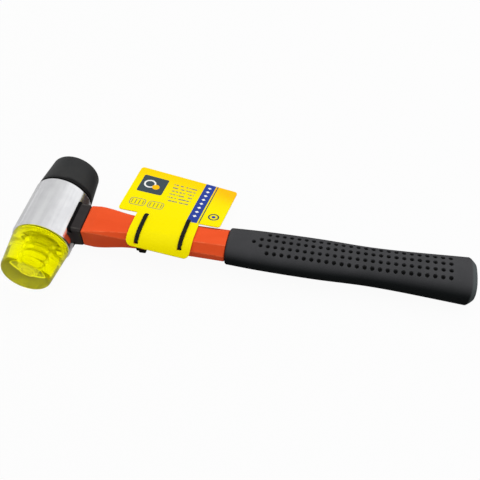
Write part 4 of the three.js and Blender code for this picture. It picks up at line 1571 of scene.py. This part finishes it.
@dataclass(frozen=True)
class PhotoCamera:
    """Camera at the photograph's angle, in the mallet's own directions.

    Attributes:
        azimuth: Angle round Z in radians, from -Y towards +X.
        elevation: Angle above the ground in radians.
        roll: Turn about the view in radians.
        distance: Distance from the head's centre along the view, in millimetres.
        shift: How far the camera stands to the right and up, in millimetres.
        focal: Focal length in widths of the image.
        sensor: Width of the sensor in millimetres.
        clip: Nearest distance that is drawn, in metres.
    """

    azimuth: float = 0.195352
    elevation: float = 0.879668
    roll: float = -0.006011
    distance: float = 396.480
    shift: Pair = (118.023, -12.6485)
    focal: float = 628.581 / 480
    sensor: float = 36.0
    clip: float = 0.01

    def build(self, lie: Lie) -> None:
        """Places the camera: back times the distance, plus right and up times their shifts."""
        cos, sin = math.cos(self.azimuth), math.sin(self.azimuth)
        level = math.cos(self.elevation)
        back = np.array([sin * level, -cos * level, math.sin(self.elevation)])
        right = np.array([cos, sin, 0.0])
        up = np.cross(back, right)
        turn, tip = math.cos(self.roll), math.sin(self.roll)
        right, up = turn * right + tip * up, turn * up - tip * right
        spot = lie.points(back * self.distance + right * self.shift[0] + up * self.shift[1])
        axes = lie.turn @ np.stack([right, up, back], axis=1)
        data = bpy.data.cameras.new("photo_camera")
        data.sensor_width = self.sensor
        data.lens = data.sensor_width * self.focal
        data.clip_start = self.clip
        camera = bpy.data.objects.new("photo_camera", data)
        matrix = np.eye(4)
        matrix[:3, :3], matrix[:3, 3] = axes, spot
        camera.matrix_world = Matrix(matrix.tolist())
        bpy.context.scene.collection.objects.link(camera)
        bpy.context.scene.camera = camera


@dataclass(frozen=True)
class Studio:
    """White floor, large soft box overhead and an even surround."""

    floor_half: float = 4.0
    floor_drop: float = 0.0002
    floor_white: Colour = (0.56, 0.56, 0.56, 1.0)
    box_side: float = 2.6
    box_place: Triple = (0.7, 0.5, 1.7)
    box_watts: float = 44.0
    surround: float = 0.34
    mirror_dark: float = 0.68
    mirror_bright: float = 1.0
    floor_glow: float = 0.95
    mirror_glow: float = 0.05
    shade: Colour = ink(60, 50, 48)
    shade_share: float = 0.92
    shade_from: Pair = (-0.115, -0.085)
    shadow_reach: Pair = (0.3, 0.9)

    @staticmethod
    def _rays(sheet: NodeSheet) -> tuple[Wire, Wire]:
        """1 for rays from the camera and through clear pieces, and 1 for rays from mirrors."""
        camera, clear, mirror = (sheet.node("ShaderNodeLightPath", output=f"Is {name} Ray")
                                 for name in ("Camera", "Transmission", "Glossy"))
        return camera.most(clear), mirror

    def _floor(self) -> None:
        """A level square with a white finish that keeps the shadow."""
        half = self.floor_half
        mesh = bpy.data.meshes.new("floor")
        corners = [(x * half, y * half, -self.floor_drop) for x, y in ((-1, -1), (1, -1), (1, 1), (-1, 1))]
        mesh.from_pydata(corners, [], [(0, 1, 2, 3)])
        sheet = NodeSheet.new("white_floor")
        sheet.shade(Base_Color=self.floor_white, Roughness=0.9, Specular_IOR_Level=0.0)
        body = Wire(sheet, sheet.shader.outputs[0])
        plain, mirror = self._rays(sheet)
        reach = sheet.node("ShaderNodeVectorMath", {"operation": "LENGTH"}, {0: sheet.coordinates()}, "Value")
        away = reach.rise(*self.shadow_reach)
        beside = sheet.part(sheet.coordinates(), "X")
        shaded = mirror * beside.rise(*self.shade_from) * away.fall(0.0, 1.0)
        colour = sheet.mix(shaded, ink(255, 255, 255), self.shade)
        glow = sheet.node("ShaderNodeEmission", values={"Color": colour, "Strength": 1.0})
        near = plain * self.floor_glow + mirror * self.mirror_glow + shaded * self.shade_share
        far = plain.most(mirror)
        mixed = sheet.node("ShaderNodeMixShader", values={0: near + away * (far - near), 1: body, 2: glow})
        output = next(n for n in sheet.tree.nodes if n.type == "OUTPUT_MATERIAL")
        sheet.tree.links.new(mixed.socket, output.inputs["Surface"])
        mesh.materials.append(sheet.material)
        floor = bpy.data.objects.new("floor", mesh)
        bpy.context.scene.collection.objects.link(floor)

    def _surround(self) -> None:
        """World light: white to the camera, shaded from left to right in mirrors, dimmer as fill."""
        world = bpy.data.worlds.new("studio")
        world.use_nodes = True
        sheet = NodeSheet(world.node_tree)
        plain, glossy = self._rays(sheet)
        way = sheet.node("ShaderNodeTexCoord", output="Generated")
        right = sheet.part(way, "X")
        mirror = self.mirror_dark + (self.mirror_bright - self.mirror_dark) * right.rise(-0.35, 0.75)
        fill = self.surround + glossy * (mirror - self.surround)
        strength = fill + plain * (1.0 - fill)
        background = next(n for n in sheet.tree.nodes if n.type == "BACKGROUND")
        background.inputs["Color"].default_value = (1, 1, 1, 1)
        sheet.tree.links.new(strength.socket, background.inputs["Strength"])
        bpy.context.scene.world = world

    def build(self) -> None:
        """Sets floor, surround and soft box, and the plain view."""
        self._floor()
        self._surround()
        lamp = bpy.data.lights.new("soft_box", "AREA")
        lamp.shape, lamp.size, lamp.energy = "SQUARE", self.box_side, self.box_watts
        box = bpy.data.objects.new("soft_box", lamp)
        box.location = self.box_place
        box.visible_glossy = False
        bpy.context.scene.collection.objects.link(box)
        bpy.context.scene.view_settings.view_transform = "Standard"


def dress_inside() -> None:
    """Gives the two solids inside the handle their own finishes."""
    for node, finish in (("fibreglass_core", FIBRE), ("eye_resin", RESIN)):
        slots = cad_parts[node].data.materials
        slots.clear()
        slots.append(finish.material())


def main() -> None:
    """Builds the mallet, its card and the stage."""
    logging.basicConfig(level=logging.INFO, format="%(name)s: %(message)s")
    lie = Lie.of_solids()
    PhotoCamera().build(lie)
    Studio().build()
    Head().build(lie)
    PlasticEnd().build(lie)
    RubberEnd().build(lie)
    Collar().build(lie)
    Jacket().build(lie)
    Grip().build(lie)
    Card().build(lie)
    Tie("front_tie", -1, -5.0).build(lie)
    Tie("rear_tie", 1, 5.0).build(lie)
    dress_inside()


if __name__ == "__main__":
    main()
